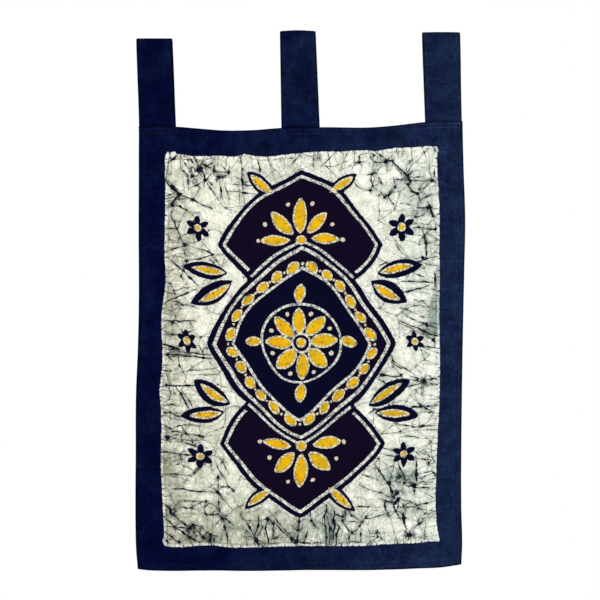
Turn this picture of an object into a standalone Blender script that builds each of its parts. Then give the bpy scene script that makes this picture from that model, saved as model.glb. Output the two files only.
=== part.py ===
"""Batik wall hanging: one hemmed cotton cloth that hangs by three sewn tabs.

Every length in the tables is in millimetres and becomes metres once, where a point is placed.
X runs to the right as seen from the front, Y from the front to the back, and Z points up.
The origin lies on the line of a straight hanging rod, in the loop of the middle tab.
"""

import math

import bmesh
import bpy
import numpy as np

MM = 0.001

# The cloth's four edges as it hangs: each is a few rows, and a smooth curve runs through them
LEFT_EDGE = {
    "height": (-818, -794, -740, -640, -546, -484, -430, -290, -130),
    "side": (-250.4, -252.7, -254.2, -254.2, -254.0, -251.4, -249.8, -249.4, -248.8),
}
RIGHT_EDGE = {
    "height": (-810, -785, -720, -620, -540, -460, -370, -265, -200, -122),
    "side": (250.6, 252.0, 250.9, 251.3, 252.4, 253.6, 255.3, 256.8, 254.5, 252.4),
}
TOP_EDGE = {
    "side": (-249, -193, -158, -118, -70, -28, 40, 112, 150, 196, 252),
    "height": (-129.6, -130.2, -132.8, -135.4, -134.8, -132.0, -130.8, -130.4, -127.6, -122.8, -121.9),
}
BOTTOM_EDGE = {
    "side": (-251, -240, -210, -120, 0, 110, 180, 225, 252),
    "height": (-813.6, -817.6, -818.6, -818.4, -818.0, -817.0, -815.6, -813.2, -808.4),
}

# Cloth and hem
CLOTH = 1.2
HEM = 2.6
HEM_WIDTH = 12.0
HEM_STEP = 1.4
PANEL_WIDTH = 502.0
PANEL_HEIGHT = 686.0
PANEL_COLUMNS = 34
PANEL_ROWS = 44

# Out-of-plane shape: how deep each soft form is and over what length it runs
TOP_SAG_DEPTH = 3.2
TOP_SAG_PITCH = 222.0
TOP_SAG_FADE = 170.0
SIDE_CURL_DEPTH = 4.0
SIDE_CURL_HEIGHT = -520.0
SIDE_CURL_REACH = 190.0
HEM_WAVE_DEPTH = 2.6
HEM_WAVE_LENGTH = 176.0
HEM_WAVE_SHIFT = 25.0
HEM_WAVE_START = -560.0
HEM_WAVE_FULL = -818.0
FOLDS = {
    "side": (-178, -64, 58, 168, 60, -140),
    "height": (-330, -450, -520, -400, -240, -230),
    "depth": (-1.9, 2.3, -2.2, 1.8, 1.5, -1.2),
    "width": (34, 40, 38, 32, 72, 60),
    "reach": (150, 190, 170, 160, 120, 110),
    "lean": (16, -12, 10, -18, 0, 0),
}

# Tabs: a folded strip each, both ends sewn behind the top hem
TAB = 1.6
LOOP_RADIUS = 7.0
SEAM_GAP = 0.4
SEAM_OVERLAP = 11.0
TAB_COLUMNS = 6
TAB_SEAM_ROWS = 2
TAB_SIDE_ROWS = 9
TAB_LOOP_ROWS = 10
TABS = {
    "name": ("tab_left", "tab_centre", "tab_right"),
    "top": (7.0, 19.6, 16.8),
    "bow": (0.3, 1.8, 0.6),
    "slack": (0.9, -1.1, 0.8),
    "top_from": (-252.4, -30.4, 190.2),
    "top_to": (-197.4, 25.0, 248.2),
    "foot_from": (-248.9, -28.2, 194.8),
    "foot_to": (-191.6, 31.6, 251.9),
}

NAVY = (0.004, 0.007, 0.030, 1.0)
WAXED_CREAM = (0.66, 0.66, 0.52, 1.0)
COTTON_ROUGHNESS = 0.85


def rows_of(table):
    """The rows of a table of named columns, each as a dictionary."""
    return [dict(zip(table, row)) for row in zip(*table.values())]


def between(ends, t):
    """The value t of the way from the first of a list to its last."""
    return ends[0] + (ends[-1] - ends[0]) * t


def ease(t):
    """Goes smoothly from 0 to 1 as t does, and stays there."""
    t = np.clip(t, 0, 1)
    return t * t * (3 - 2 * t)


def bell(t):
    """1 at 0, falling smoothly to almost nothing at 2 to either side."""
    return np.exp(-t * t)


def smooth_curve(table, along, value, at):
    """A cubic curve through a table's rows; the slope at a row comes from its neighbours."""
    places = np.asarray(table[along], float)
    values = np.asarray(table[value], float)
    slopes = np.gradient(values, places)
    at = np.clip(at, places[0], places[-1])
    i = np.clip(np.searchsorted(places, at) - 1, 0, len(places) - 2)
    span = places[i + 1] - places[i]
    t = (at - places[i]) / span
    start = (1 + 2 * t) * (1 - t) ** 2 * values[i] + t * (1 - t) ** 2 * span * slopes[i]
    end = t * t * (3 - 2 * t) * values[i + 1] + t * t * (t - 1) * span * slopes[i + 1]
    return start + end


def top_of(side):
    """Height of the cloth's top edge."""
    return smooth_curve(TOP_EDGE, "side", "height", side)


def relief(side, height):
    """How far the cloth's front stands behind its flat plane at a place."""
    drop = top_of(side) - height
    sag = np.cos(2 * math.pi * side / TOP_SAG_PITCH) * np.exp(-drop / TOP_SAG_FADE)
    edge = (2 * side / PANEL_WIDTH) ** 4
    curl = edge * bell((height - SIDE_CURL_HEIGHT) / SIDE_CURL_REACH)
    wave = np.sin(2 * math.pi * (side + HEM_WAVE_SHIFT) / HEM_WAVE_LENGTH)
    wave = wave * ease((HEM_WAVE_START - height) / (HEM_WAVE_START - HEM_WAVE_FULL))
    depth = -TOP_SAG_DEPTH * sag + SIDE_CURL_DEPTH * curl + HEM_WAVE_DEPTH * wave
    for fold in rows_of(FOLDS):
        down = (height - fold["height"]) / fold["reach"]
        across = (side - fold["side"] - fold["lean"] * down) / fold["width"]
        depth = depth + fold["depth"] * bell(across) * bell(down)
    return depth


def cloth_point(u, v):
    """Side and height of the place that is u across the cloth and v up it, both from 0 to 1."""
    left = smooth_curve(LEFT_EDGE, "height", "side", between(LEFT_EDGE["height"], v))
    right = smooth_curve(RIGHT_EDGE, "height", "side", between(RIGHT_EDGE["height"], v))
    level = between(BOTTOM_EDGE["side"], u)
    foot = smooth_curve(BOTTOM_EDGE, "side", "height", level)
    return left + (right - left) * u, foot + (top_of(level) - foot) * v


def hemmed_lines(length, cells):
    """Places of a grid's lines along a side, with the hem's step near either end."""
    hem = HEM_WIDTH / length
    step = (HEM_WIDTH + HEM_STEP) / length
    return np.concatenate([[0, hem], np.linspace(step, 1 - step, cells - 3), [1 - hem, 1]])


def sheet_from(name, across, along, place):
    """A grid whose corners lie at place(across, along), as an object with no thickness yet."""
    bm = bmesh.new()
    bmesh.ops.create_grid(bm, x_segments=len(across) - 1, y_segments=len(along) - 1, size=0.5)
    raw = np.array([vertex.co for vertex in bm.verts])
    column = np.rint((raw[:, 0] + 0.5) * (len(across) - 1)).astype(int)
    row = np.rint((raw[:, 1] + 0.5) * (len(along) - 1)).astype(int)
    for vertex, point in zip(bm.verts, place(across[column], along[row]) * MM):
        vertex.co = point
    mesh = bpy.data.meshes.new(name)
    bm.to_mesh(mesh)
    bm.free()
    mesh.shade_smooth()
    sheet = bpy.data.objects.new(name, mesh)
    bpy.data.collections["batik_wall_hanging"].objects.link(sheet)
    return sheet, column, row


def thicken(sheet, thickness, offset):
    """Gives a sheet its thickness, as a modifier."""
    solid = sheet.modifiers.new("thickness", "SOLIDIFY")
    solid.thickness = thickness * MM
    solid.offset = offset
    solid.use_quality_normals = True
    return solid


def cotton(name, colour):
    """Matt cotton in one colour."""
    material = bpy.data.materials.new(name)
    material.use_nodes = True
    shader = material.node_tree.nodes["Principled BSDF"]
    shader.inputs["Base Color"].default_value = colour
    shader.inputs["Roughness"].default_value = COTTON_ROUGHNESS
    shader.inputs["Metallic"].default_value = 0.0
    return material


def make_panel():
    """The cloth: thin in the middle, with its edges turned to the back as a thicker hem."""

    def place(u, v):
        side, height = cloth_point(u, v)
        return np.stack([side, relief(side, height), height], axis=1)

    across = hemmed_lines(PANEL_WIDTH, PANEL_COLUMNS)
    along = hemmed_lines(PANEL_HEIGHT, PANEL_ROWS)
    panel, column, row = sheet_from("panel", across, along, place)
    side_hem = (column < 2) | (column > len(across) - 3)
    end_hem = (row < 2) | (row > len(along) - 3)
    hem = panel.vertex_groups.new(name="hem")
    hem.add(np.flatnonzero(side_hem | end_hem).tolist(), 1.0, "REPLACE")
    hem.add(np.flatnonzero(~(side_hem | end_hem)).tolist(), CLOTH / HEM, "REPLACE")
    thicken(panel, HEM, -1).vertex_group = hem.name
    panel.data.materials.append(cotton("waxed_cotton", WAXED_CREAM))


def tab_path(along, tab, foot, edge, top):
    """Depth and height along a tab: up its front, round the rod's loop and down its back.

    along runs from 0 to 5: a seam, the front side, the loop, the back side and the other seam
    take 1 each.
    """
    radius = LOOP_RADIUS + TAB / 2
    centre = top - TAB - LOOP_RADIUS
    front = along < 2.5
    climb = np.where(front, along, 5 - along)
    seam_height = edge - SEAM_OVERLAP * (1 - np.clip(climb, 0, 1))
    seam = relief(foot, seam_height) + HEM + SEAM_GAP + TAB / 2
    seam = np.where(front, seam, seam + TAB + SEAM_GAP)
    rise = np.clip(climb - 1, 0, 1)
    spread = (1 - np.cos(math.pi * rise)) / 2
    depth = seam + (np.where(front, -radius, radius) - seam) * spread
    depth = depth + tab["slack"] * np.sin(math.pi * rise) ** 2
    height = seam_height + (centre - edge) * rise
    turn = math.pi * (along - 2)
    loop = (along > 2) & (along < 3)
    depth = np.where(loop, -radius * np.cos(turn), depth)
    height = np.where(loop, centre + radius * np.sin(turn), height)
    return depth, height


def make_tab(tab):
    """A strip folded in half over the rod line, its two ends side by side behind the hem."""

    def place(w, along):
        foot = between((tab["foot_from"], tab["foot_to"]), w)
        head = between((tab["top_from"], tab["top_to"]), w)
        edge = top_of(foot)
        top = tab["top"] - tab["bow"] * (2 * w - 1) ** 2
        depth, height = tab_path(along, tab, foot, edge, top)
        rise = np.clip((height - edge) / (top - edge), 0, 1)
        return np.stack([foot + (head - foot) * rise, depth, height], axis=1)

    parts = (TAB_SEAM_ROWS, TAB_SIDE_ROWS, TAB_LOOP_ROWS, TAB_SIDE_ROWS, TAB_SEAM_ROWS)
    lines = [start + np.arange(rows) / rows for start, rows in enumerate(parts)]
    along = np.concatenate(lines + [[len(parts)]])
    strip, _, _ = sheet_from(tab["name"], np.linspace(0, 1, TAB_COLUMNS + 1), along, place)
    thicken(strip, TAB, 0)
    strip.data.materials.append(cotton(tab["name"] + "_cotton", NAVY))


def clear_scene():
    for old in list(bpy.data.objects):
        bpy.data.objects.remove(old)
    hanging = bpy.data.collections.new("batik_wall_hanging")
    bpy.context.scene.collection.children.link(hanging)


def main():
    clear_scene()
    make_panel()
    for tab in rows_of(TABS):
        make_tab(tab)


main()
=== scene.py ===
# %% [markdown]
# # A batik wall hanging
#
# The real thing is one cotton cloth: a navy dyed border round a pale field that was painted with hot
# wax, crumpled so that the wax cracked, and dipped in dark dye. Three sewn tabs hold it up.
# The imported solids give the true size, outline and soft folds. This script adds what the eye reads
# as cloth: a thin sheet with a turned hem, sewn loops, stitches, and the dye itself.

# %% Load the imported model
import math

import bpy
import numpy as np
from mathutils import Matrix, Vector
from mathutils.bvhtree import BVHTree


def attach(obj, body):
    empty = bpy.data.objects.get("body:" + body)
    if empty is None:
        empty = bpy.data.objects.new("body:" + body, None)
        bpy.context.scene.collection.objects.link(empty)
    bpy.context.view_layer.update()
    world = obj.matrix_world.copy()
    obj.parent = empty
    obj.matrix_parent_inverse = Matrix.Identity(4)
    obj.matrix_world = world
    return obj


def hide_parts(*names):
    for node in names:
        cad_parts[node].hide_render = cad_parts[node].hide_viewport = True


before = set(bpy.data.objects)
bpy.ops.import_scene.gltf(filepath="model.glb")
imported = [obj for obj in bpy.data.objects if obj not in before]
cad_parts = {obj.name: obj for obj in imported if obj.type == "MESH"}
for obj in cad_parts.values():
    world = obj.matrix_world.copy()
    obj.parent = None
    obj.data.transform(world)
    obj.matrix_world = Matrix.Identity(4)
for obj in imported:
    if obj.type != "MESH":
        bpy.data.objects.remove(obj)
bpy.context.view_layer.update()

# %% [markdown]
# ## Units and small helpers
#
# Every length below is a real one in millimetres and becomes metres once, where a mesh is made.
# A table is a dictionary of named columns, so that a row reads as one edge point, fold or tab.

# %% Helpers for numbers
MM = 0.001


def rows_of(table):
    """The rows of a table of named columns, each as a dictionary."""
    return [dict(zip(table, row)) for row in zip(*table.values())]


def between(ends, t):
    """The value t of the way from the first of a list to its last."""
    return ends[0] + (ends[-1] - ends[0]) * t


def ease(t):
    """Goes smoothly from 0 to 1 as t does, and stays there: t squared times (3 - 2t)."""
    t = np.clip(t, 0, 1)
    return t * t * (3 - 2 * t)


def bell(t):
    """1 at 0, falling smoothly to almost nothing at 2 to either side: e to the power of -t squared."""
    return np.exp(-t * t)


def smooth_curve(table, along, value, at):
    """A cubic curve through a table's rows; the slope at a row comes from its neighbours."""
    places = np.asarray(table[along], float)
    values = np.asarray(table[value], float)
    slopes = np.gradient(values, places)
    at = np.clip(at, places[0], places[-1])
    i = np.clip(np.searchsorted(places, at) - 1, 0, len(places) - 2)
    span = places[i + 1] - places[i]
    t = (at - places[i]) / span
    start = (1 + 2 * t) * (1 - t) ** 2 * values[i] + t * (1 - t) ** 2 * span * slopes[i]
    end = t * t * (3 - 2 * t) * values[i + 1] + t * t * (t - 1) * span * slopes[i + 1]
    return start + end


print("helpers ready, ease(0.5) =", float(ease(0.5)))

# %% [markdown]
# ## The outline and the folds of the cloth
#
# A hung cloth is never a true rectangle: its top sags between the tabs and its sides pull in.
# It could be draped by simulation, but the photograph shows these few soft forms plainly, so each is
# a given curve. They are the curves of the solids, and the sheet lies on them.

# %% Edges and folds
PANEL_WIDTH = 502.0
PANEL_HEIGHT = 686.0
LEFT_EDGE = {
    "height": (-818, -794, -740, -640, -546, -484, -430, -290, -130),
    "side": (-250.4, -252.7, -254.2, -254.2, -254.0, -251.4, -249.8, -249.4, -248.8),
}
RIGHT_EDGE = {
    "height": (-810, -785, -720, -620, -540, -460, -370, -265, -200, -122),
    "side": (250.6, 252.0, 250.9, 251.3, 252.4, 253.6, 255.3, 256.8, 254.5, 252.4),
}
TOP_EDGE = {
    "side": (-249, -193, -158, -118, -70, -28, 40, 112, 150, 196, 252),
    "height": (-129.6, -130.2, -132.8, -135.4, -134.8, -132.0, -130.8, -130.4, -127.6, -122.8, -121.9),
}
BOTTOM_EDGE = {
    "side": (-251, -240, -210, -120, 0, 110, 180, 225, 252),
    "height": (-815.2, -816.8, -818.5, -818.4, -818.0, -817.0, -815.6, -813.2, -808.4),
}
TOP_SAG = {"depth": 3.2, "pitch": 222.0, "fade": 170.0}
SIDE_CURL = {"depth": 4.0, "height": -520.0, "reach": 190.0}
HEM_WAVE = {"depth": 2.6, "length": 176.0, "shift": 25.0, "start": -560.0, "full": -818.0}
FOLDS = {
    "side": (-178, -64, 58, 168, 60, -140),
    "height": (-330, -450, -520, -400, -240, -230),
    "depth": (-1.9, 2.3, -2.2, 1.8, 1.5, -1.2),
    "width": (34, 40, 38, 32, 72, 60),
    "reach": (150, 190, 170, 160, 120, 110),
    "lean": (16, -12, 10, -18, 0, 0),
}


def top_of(side):
    """Height of the cloth's top edge."""
    return smooth_curve(TOP_EDGE, "side", "height", side)


def relief(side, height):
    """How far the cloth's front stands behind its flat plane at a place.

    A cosine for the sag between the tabs, a curl at the sides, a sine along the bottom hem, and a
    bell times a bell for each fold.
    """
    drop = top_of(side) - height
    sag = np.cos(2 * math.pi * side / TOP_SAG["pitch"]) * np.exp(-drop / TOP_SAG["fade"])
    curl = (2 * side / PANEL_WIDTH) ** 4 * bell((height - SIDE_CURL["height"]) / SIDE_CURL["reach"])
    wave = np.sin(2 * math.pi * (side + HEM_WAVE["shift"]) / HEM_WAVE["length"])
    wave = wave * ease((HEM_WAVE["start"] - height) / (HEM_WAVE["start"] - HEM_WAVE["full"]))
    depth = -TOP_SAG["depth"] * sag + SIDE_CURL["depth"] * curl + HEM_WAVE["depth"] * wave
    for fold in rows_of(FOLDS):
        down = (height - fold["height"]) / fold["reach"]
        across = (side - fold["side"] - fold["lean"] * down) / fold["width"]
        depth = depth + fold["depth"] * bell(across) * bell(down)
    return depth


def cloth_point(u, v):
    """Side and height of the place that is u across the cloth and v up it, both from 0 to 1."""
    left = smooth_curve(LEFT_EDGE, "height", "side", between(LEFT_EDGE["height"], v))
    right = smooth_curve(RIGHT_EDGE, "height", "side", between(RIGHT_EDGE["height"], v))
    level = between(BOTTOM_EDGE["side"], u)
    foot = smooth_curve(BOTTOM_EDGE, "side", "height", level)
    return left + (right - left) * u, foot + (top_of(level) - foot) * v


print("top edge at the middle:", round(float(top_of(0.0)), 1), "mm")

# %% [markdown]
# ## Hem, puckers and creases
#
# A sewn hem is two layers, so it stands a little proud, dips along its stitches and puckers where the
# thread draws it in. Creases are shallow and sharper than folds. Each is one more term of depth.

# %% Hem and creases
HEM_RETURN = 9.0
SIDE_SEAM = 8.3
TOP_SEAM = 6.4
HEM_RISE = 0.5
HEM_FADE = 3.5
SEAM_DIP = 0.45
SEAM_DIP_WIDTH = 1.1
PUCKER_DEPTH = 0.2
PUCKER_REACH = 6.0
PUCKER_LENGTHS = (11.3, 17.9)
LUMP_LENGTHS = ((61, 83), (97, 47), (139, 71), (43, 118))
LUMP_DEPTH = 0.16
CREASES = {
    "side": (234, 226, -232, -222, -4, -214, 12, 208, -190, 120),
    "height": (-654, -470, -560, -180, -172, -790, -796, -160, -640, -690),
    "turn": (2, -8, 6, 62, 84, 24, -78, 108, -30, 36),
    "reach": (26, 30, 28, 60, 46, 44, 30, 52, 70, 80),
    "width": (2.6, 5, 4, 7, 8, 6, 6, 7, 9, 9),
    "depth": (0.8, 0.5, 0.5, 0.9, 0.8, 0.7, 0.6, 0.8, 0.7, -0.7),
}


def hem_form(across, up):
    """How far the front stands behind the plain relief near the sewn hem.

    Within each seam the cloth is raised, at the seam it dips as a narrow bell, and beside the seam
    two sines along the edge make uneven puckers.
    """
    edges = (
        (across, up, SIDE_SEAM),
        (PANEL_WIDTH - across, up, SIDE_SEAM),
        (up, across, SIDE_SEAM),
        (PANEL_HEIGHT - up, across, TOP_SEAM),
    )
    raised, dip, pucker = 0, 0, 0
    for inset, along, seam in edges:
        raised = np.maximum(raised, 1 - ease((inset - seam) / HEM_FADE))
        dip = np.maximum(dip, bell((inset - seam) / SEAM_DIP_WIDTH))
        ripple = sum(np.sin(2 * math.pi * along / length) for length in PUCKER_LENGTHS) / 2
        pucker = pucker + ripple * bell((inset - seam) / PUCKER_REACH)
    return -HEM_RISE * raised + SEAM_DIP * dip + PUCKER_DEPTH * pucker


def creases(side, height):
    """The depth of all creases and faint lumps: a bell across a line times a bell along it."""
    depth = 0
    for crease in rows_of(CREASES):
        turn = math.radians(crease["turn"])
        x, z = side - crease["side"], height - crease["height"]
        along = x * math.cos(turn) + z * math.sin(turn)
        off = z * math.cos(turn) - x * math.sin(turn)
        depth = depth + crease["depth"] * bell(off / crease["width"]) * bell(along / crease["reach"])
    for wide, tall in LUMP_LENGTHS:
        depth = depth + LUMP_DEPTH * np.sin(2 * math.pi * (side / wide + height / tall))
    return depth


def cloth_surface(across, up, behind=0.0):
    """Places in millimetres, as an array of X, Y, Z, of points given by how far they lie from the
    cloth's left and bottom edges and behind its front."""
    side, height = cloth_point(across / PANEL_WIDTH, up / PANEL_HEIGHT)
    depth = relief(side, height) + hem_form(across, up) + creases(side, height) + behind
    return np.stack([side, depth, height], axis=-1)


print("corner of the cloth:", cloth_surface(np.array([0.0]), np.array([0.0])).round(1)[0])

# %% Bands of painted shade and painted highlight along seams and folded edges
EDGE_BANDS = {"at": (0.0,), "width": (1.8,), "shade": (-1.7,)}
SEAM_BANDS = {"at": (0.0, -3.0, 3.0), "width": (1.0, 1.4, 1.6), "shade": (-0.8, 0.6, 0.5)}
TAB_SEAMS = (6.4, 11.6)
# Where a tab is sewn on behind: painted highlight on the raised cloth, painted shade in the dips of its two
# rows of stitches.
TAB_SEAM_BANDS = {
    "at": (4.0, 9.0, *TAB_SEAMS),
    "width": (1.3, 1.3, 1.1, 1.2),
    "shade": (1.5, 1.3, -1.1, -1.1),
}
TAB_FEET = ((0, 57), (221, 281), (444, 502))
TAB_FOOT_FADE = 3.0


def bands(distance, table):
    """The sum of a table's bands: each is a bell round its place, times how much it darkens or pales."""
    return sum(band["shade"] * bell((distance - band["at"]) / band["width"]) for band in rows_of(table))


def painted_seam_light(across, up):
    """Painted light along seams and folded edges: below 0 a painted shade where the cloth dips at the
    seams and turns away at the edges, above 0 a painted highlight on the ridges beside them, which also
    rub pale. Tabs that are sewn on from behind press through as well, as more painted shade and highlight."""
    drop = PANEL_HEIGHT - up
    shade = 0
    for inset, seam in (
        (across, SIDE_SEAM), (PANEL_WIDTH - across, SIDE_SEAM), (up, SIDE_SEAM), (drop, TOP_SEAM)
    ):
        shade = shade + bands(inset, EDGE_BANDS) + bands(inset - seam, SEAM_BANDS)
    on_tab = np.maximum.reduce([
        ease((across - start) / TAB_FOOT_FADE) * ease((finish - across) / TAB_FOOT_FADE)
        for start, finish in TAB_FEET
    ])
    return shade + bands(drop, TAB_SEAM_BANDS) * on_tab


print("shade at the cloth's edge:", round(float(painted_seam_light(0.0, PANEL_HEIGHT / 2)), 2))

# %% [markdown]
# ## The cloth as one sheet
#
# The sheet is a grid of points. Its lines are close where the hem is sewn and even over the field.
# At each edge the lines go round a small half circle and back behind the front, which is the turned
# hem: the corners then have four layers, as a mitre that was never cut has. Solidify gives the
# cloth its own thickness inside the fold. The second grid direction is worked out in the same way.

# %% Lines of the grid
FIELD_CELLS = (150, 212)
FIELD_START = 30.0
BORDER_LINES = (2.2, 4.2, 5.6, 6.9, 8.1, 9.4, 11.2, 14.2, 18.5, 24.0)
SIDE_TURN = 0.4
END_TURN = 0.75
RETURN_CELLS = 3
TURN_CELLS = 4
CLOTH_THICKNESS = 0.35


def grid_lines(length, cells, radius):
    """For each line of the grid: its place along the front, its depth behind it and its flat place.

    The return lies 2r behind, the turn is a half circle with place r - r cos a and depth r - r sin a,
    and the flat place is the length run so far along that path.
    """
    turn = np.linspace(-math.pi / 2, math.pi / 2, TURN_CELLS + 1)
    back = np.linspace(HEM_RETURN, radius, RETURN_CELLS + 1)[:-1]
    inset = np.concatenate([back, radius - radius * np.cos(turn), BORDER_LINES])
    level = np.zeros(len(BORDER_LINES))
    depth = np.concatenate([back * 0 + 2 * radius, radius - radius * np.sin(turn), level])
    middle = np.linspace(FIELD_START, length - FIELD_START, cells + 1)
    place = np.concatenate([inset, middle, length - inset[::-1]])
    behind = np.concatenate([depth, middle * 0, depth[::-1]])
    flat = np.concatenate([[0], np.cumsum(np.hypot(np.diff(place), np.diff(behind)))])
    return place, behind, flat


across_lines, across_behind, across_flat = grid_lines(PANEL_WIDTH, FIELD_CELLS[0], SIDE_TURN)
up_lines, up_behind, up_flat = grid_lines(PANEL_HEIGHT, FIELD_CELLS[1], END_TURN)
ACROSS, UP = np.meshgrid(across_lines, up_lines)
BEHIND = across_behind[None, :] + up_behind[:, None]
CLOTH = cloth_surface(ACROSS, UP, BEHIND)


# %% Make a mesh from a grid
def grid_faces(rows, columns, closed=False):
    """Four corners for each cell of a grid; a closed grid also joins its last column to its first."""
    first = np.arange(columns if closed else columns - 1)
    i, j = np.meshgrid(np.arange(rows - 1), first, indexing="ij")
    k = (j + 1) % columns
    corners = [i * columns + j, i * columns + k, (i + 1) * columns + k, (i + 1) * columns + j]
    return np.stack(corners, -1).reshape(-1, 4)


def make_piece(name, points, faces, material):
    """A mesh object from points in millimetres and faces, smooth shaded, at the origin."""
    mesh = bpy.data.meshes.new(name)
    mesh.from_pydata((points.reshape(-1, 3) * MM).tolist(), [], faces.tolist())
    mesh.shade_smooth()
    mesh.materials.append(material)
    piece = bpy.data.objects.new(name, mesh)
    bpy.context.scene.collection.objects.link(piece)
    print(name, "has", len(mesh.vertices), "points and", len(mesh.polygons), "faces")
    return piece


def lay_flat(piece, flat_x, flat_y):
    """Gives a piece a UV map named cloth: each corner's place on the flat cloth, in metres."""
    layer = piece.data.uv_layers.new(name="cloth")
    corner = np.empty(len(piece.data.loops), int)
    piece.data.loops.foreach_get("vertex_index", corner)
    flat = np.stack([flat_x.ravel()[corner], flat_y.ravel()[corner]], -1) * MM
    layer.data.foreach_set("uv", flat.astype(np.float32).ravel())


cotton = bpy.data.materials.new("wax_resist_cotton")
panel = make_piece("cloth", CLOTH, grid_faces(*CLOTH.shape[:2]), cotton)
lay_flat(panel, *np.meshgrid(across_flat, up_flat))
thickness = panel.modifiers.new("thickness", "SOLIDIFY")
thickness.thickness = CLOTH_THICKNESS * MM
thickness.offset = -1
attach(panel, "root")
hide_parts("panel")

# %% Measure how well it lies on the solid, at one point in so many
TEST_EVERY = 37
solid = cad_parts["panel"].data
solid_faces = BVHTree.FromPolygons([v.co for v in solid.vertices], [p.vertices for p in solid.polygons])
front = CLOTH[BEHIND == 0][::TEST_EVERY] * MM
gaps = [solid_faces.find_nearest(Vector(point))[3] for point in front.tolist()]
print("the sheet's front lies within", round(max(gaps) * 1000, 2), "mm of the solid's")

# %% [markdown]
# ## Where the wax was
#
# Dye goes where wax doesn't, so the picture is all edges. Each edge is kept on the cloth's points as a
# distance in millimetres, below 0 inside, and the material turns it into a line. A distance stays
# sharp on a coarse grid, where a painted colour would blur. Painting pixels would also fix the
# sharpness once and for all, and a distance doesn't.

# %% The waxed field in the border
SIDE = CLOTH[..., 0]
HEIGHT = CLOTH[..., 2]
FIELD_LEFT = {
    "height": (-780, -755, -724, -693, -662, -569, -538, -507, -414, -383, -321, -260, -166),
    "side": (
        -209.5, -210, -211.5, -213.1, -214.7, -214.7, -217, -213.1, -213.1, -208.5, -209, -208, -208.2,
    ),
}
FIELD_RIGHT = {
    "height": (
        -782, -768, -755, -724, -662, -631, -569, -507, -414, -383, -352, -321, -290, -228, -197, -166,
    ),
    "side": (
        218, 216.6, 214, 211.4, 212, 213, 216.6, 217.6,
        216.8, 217, 217.2, 216.4, 216.8, 215.2, 213.2, 213.2,
    ),
}
FIELD_TOP = {
    "side": (
        -208, -188, -170, -145, -120, -101, -83, -70, -58, -40, -15, 10,
        35, 60, 85, 103, 116, 134, 153, 165, 184, 202, 213,
    ),
    "height": (
        -175.5, -172.5, -175.5, -175.8, -175, -176.5, -172.8, -175.5, -176.5, -176, -173, -170.3,
        -169, -168.5, -167, -166.2, -167.5, -165, -163, -162.5, -161.5, -160.5, -162,
    ),
}
FIELD_BOTTOM = {
    "side": (
        -210, -182, -170, -157, -132, -108, -77, -52, -27, 0, 54, 85, 109, 134, 165,
        184, 196, 203, 214,
    ),
    "height": (
        -780, -782, -781, -779.5, -779.5, -782, -782, -781, -780.5, -780, -780, -779.5, -778.5, -777, -776,
        -775.3, -774, -772.8, -774,
    ),
}
FIELD_CORNER = 3.6
CORNER_BLEND = 14.0
CORNER_LOBES = (
    ((-206.5, -177), (-203.5, -171.5), 2.2), ((-198.5, -171.8), (-193, -170.6), 2.0),
    ((-206, -776), (-208, -772), 4.0), ((211, -163.6), (212.6, -168), 2.6),
)


def field_distance(x, z):
    """Signed distance to the field's edge, and how much nearer a side is than an end, from 0 to 1.

    The distance is the worse of the two sides and the worse of the two ends, joined by a round
    corner, and the nearest of a few short strokes where the brush went over a corner.
    """
    across = np.maximum(
        smooth_curve(FIELD_LEFT, "height", "side", z) - x,
        x - smooth_curve(FIELD_RIGHT, "height", "side", z),
    ) + FIELD_CORNER
    up = np.maximum(
        z - smooth_curve(FIELD_TOP, "side", "height", x),
        smooth_curve(FIELD_BOTTOM, "side", "height", x) - z,
    ) + FIELD_CORNER
    outside = np.hypot(np.maximum(across, 0), np.maximum(up, 0))
    distance = outside + np.minimum(np.maximum(across, up), 0) - FIELD_CORNER
    for (start_x, start_z), (end_x, end_z), radius in CORNER_LOBES:
        run_x, run_z = end_x - start_x, end_z - start_z
        t = np.clip(((x - start_x) * run_x + (z - start_z) * run_z) / (run_x ** 2 + run_z ** 2), 0, 1)
        lobe = np.hypot(x - start_x - t * run_x, z - start_z - t * run_z) - radius
        distance = np.minimum(distance, lobe)
    return distance, ease((across - up + CORNER_BLEND) / (2 * CORNER_BLEND))


FIELD_EDGE, SIDE_SHARE = field_distance(SIDE, HEIGHT)
print("share of the cloth that was waxed:", round(float((FIELD_EDGE < 0).mean()), 2))

# %% [markdown]
# ## The design
#
# The middle of the cloth holds a plain traditional kind of design: three lozenges, one on the other,
# with a rosette, bead bands and leaf sprays, in navy, plum, gold and bare wax. It is symmetric, so
# it is worked out on the sizes of x and z alone, and a slow wobble takes the ruler out of it.

# %% Shapes as distances
DESIGN_CENTRE = (2.0, -464.0)
HAND_WOBBLE = 2.3


def lozenge(x, z, half_width, half_height, bulge):
    """Signed distance to a lozenge whose four sides are arcs that bow out by bulge.

    The arc over a chord m has the radius (m squared / 4 + bulge squared) / (2 bulge), and the
    distance is that to its centre, less the radius.
    """
    chord = math.hypot(half_width, half_height)
    radius = (chord ** 2 / 4 + bulge ** 2) / (2 * bulge)
    centre_x = half_width / 2 - (radius - bulge) * half_height / chord
    centre_z = half_height / 2 - (radius - bulge) * half_width / chord
    return np.hypot(np.abs(x) - centre_x, np.abs(z) - centre_z) - radius


def leaf(x, z, at_x, at_z, turn, half_length, half_width):
    """Signed distance to a pointed leaf, the space that two equal circles share.

    Their radius is (l squared + w squared) / 2w, and their centres lie radius - w off its long axis.
    """
    turn = math.radians(turn)
    along = (x - at_x) * math.cos(turn) + (z - at_z) * math.sin(turn)
    off = (z - at_z) * math.cos(turn) - (x - at_x) * math.sin(turn)
    radius = (half_length ** 2 + half_width ** 2) / (2 * half_width)
    return np.hypot(np.abs(off) + radius - half_width, along) - radius


def disc(x, z, at_x, at_z, radius):
    """Signed distance to a disc."""
    return np.hypot(x - at_x, z - at_z) - radius


def union(*distances):
    """The distance to several shapes together is the smallest of theirs."""
    return np.minimum.reduce(distances)


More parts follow.
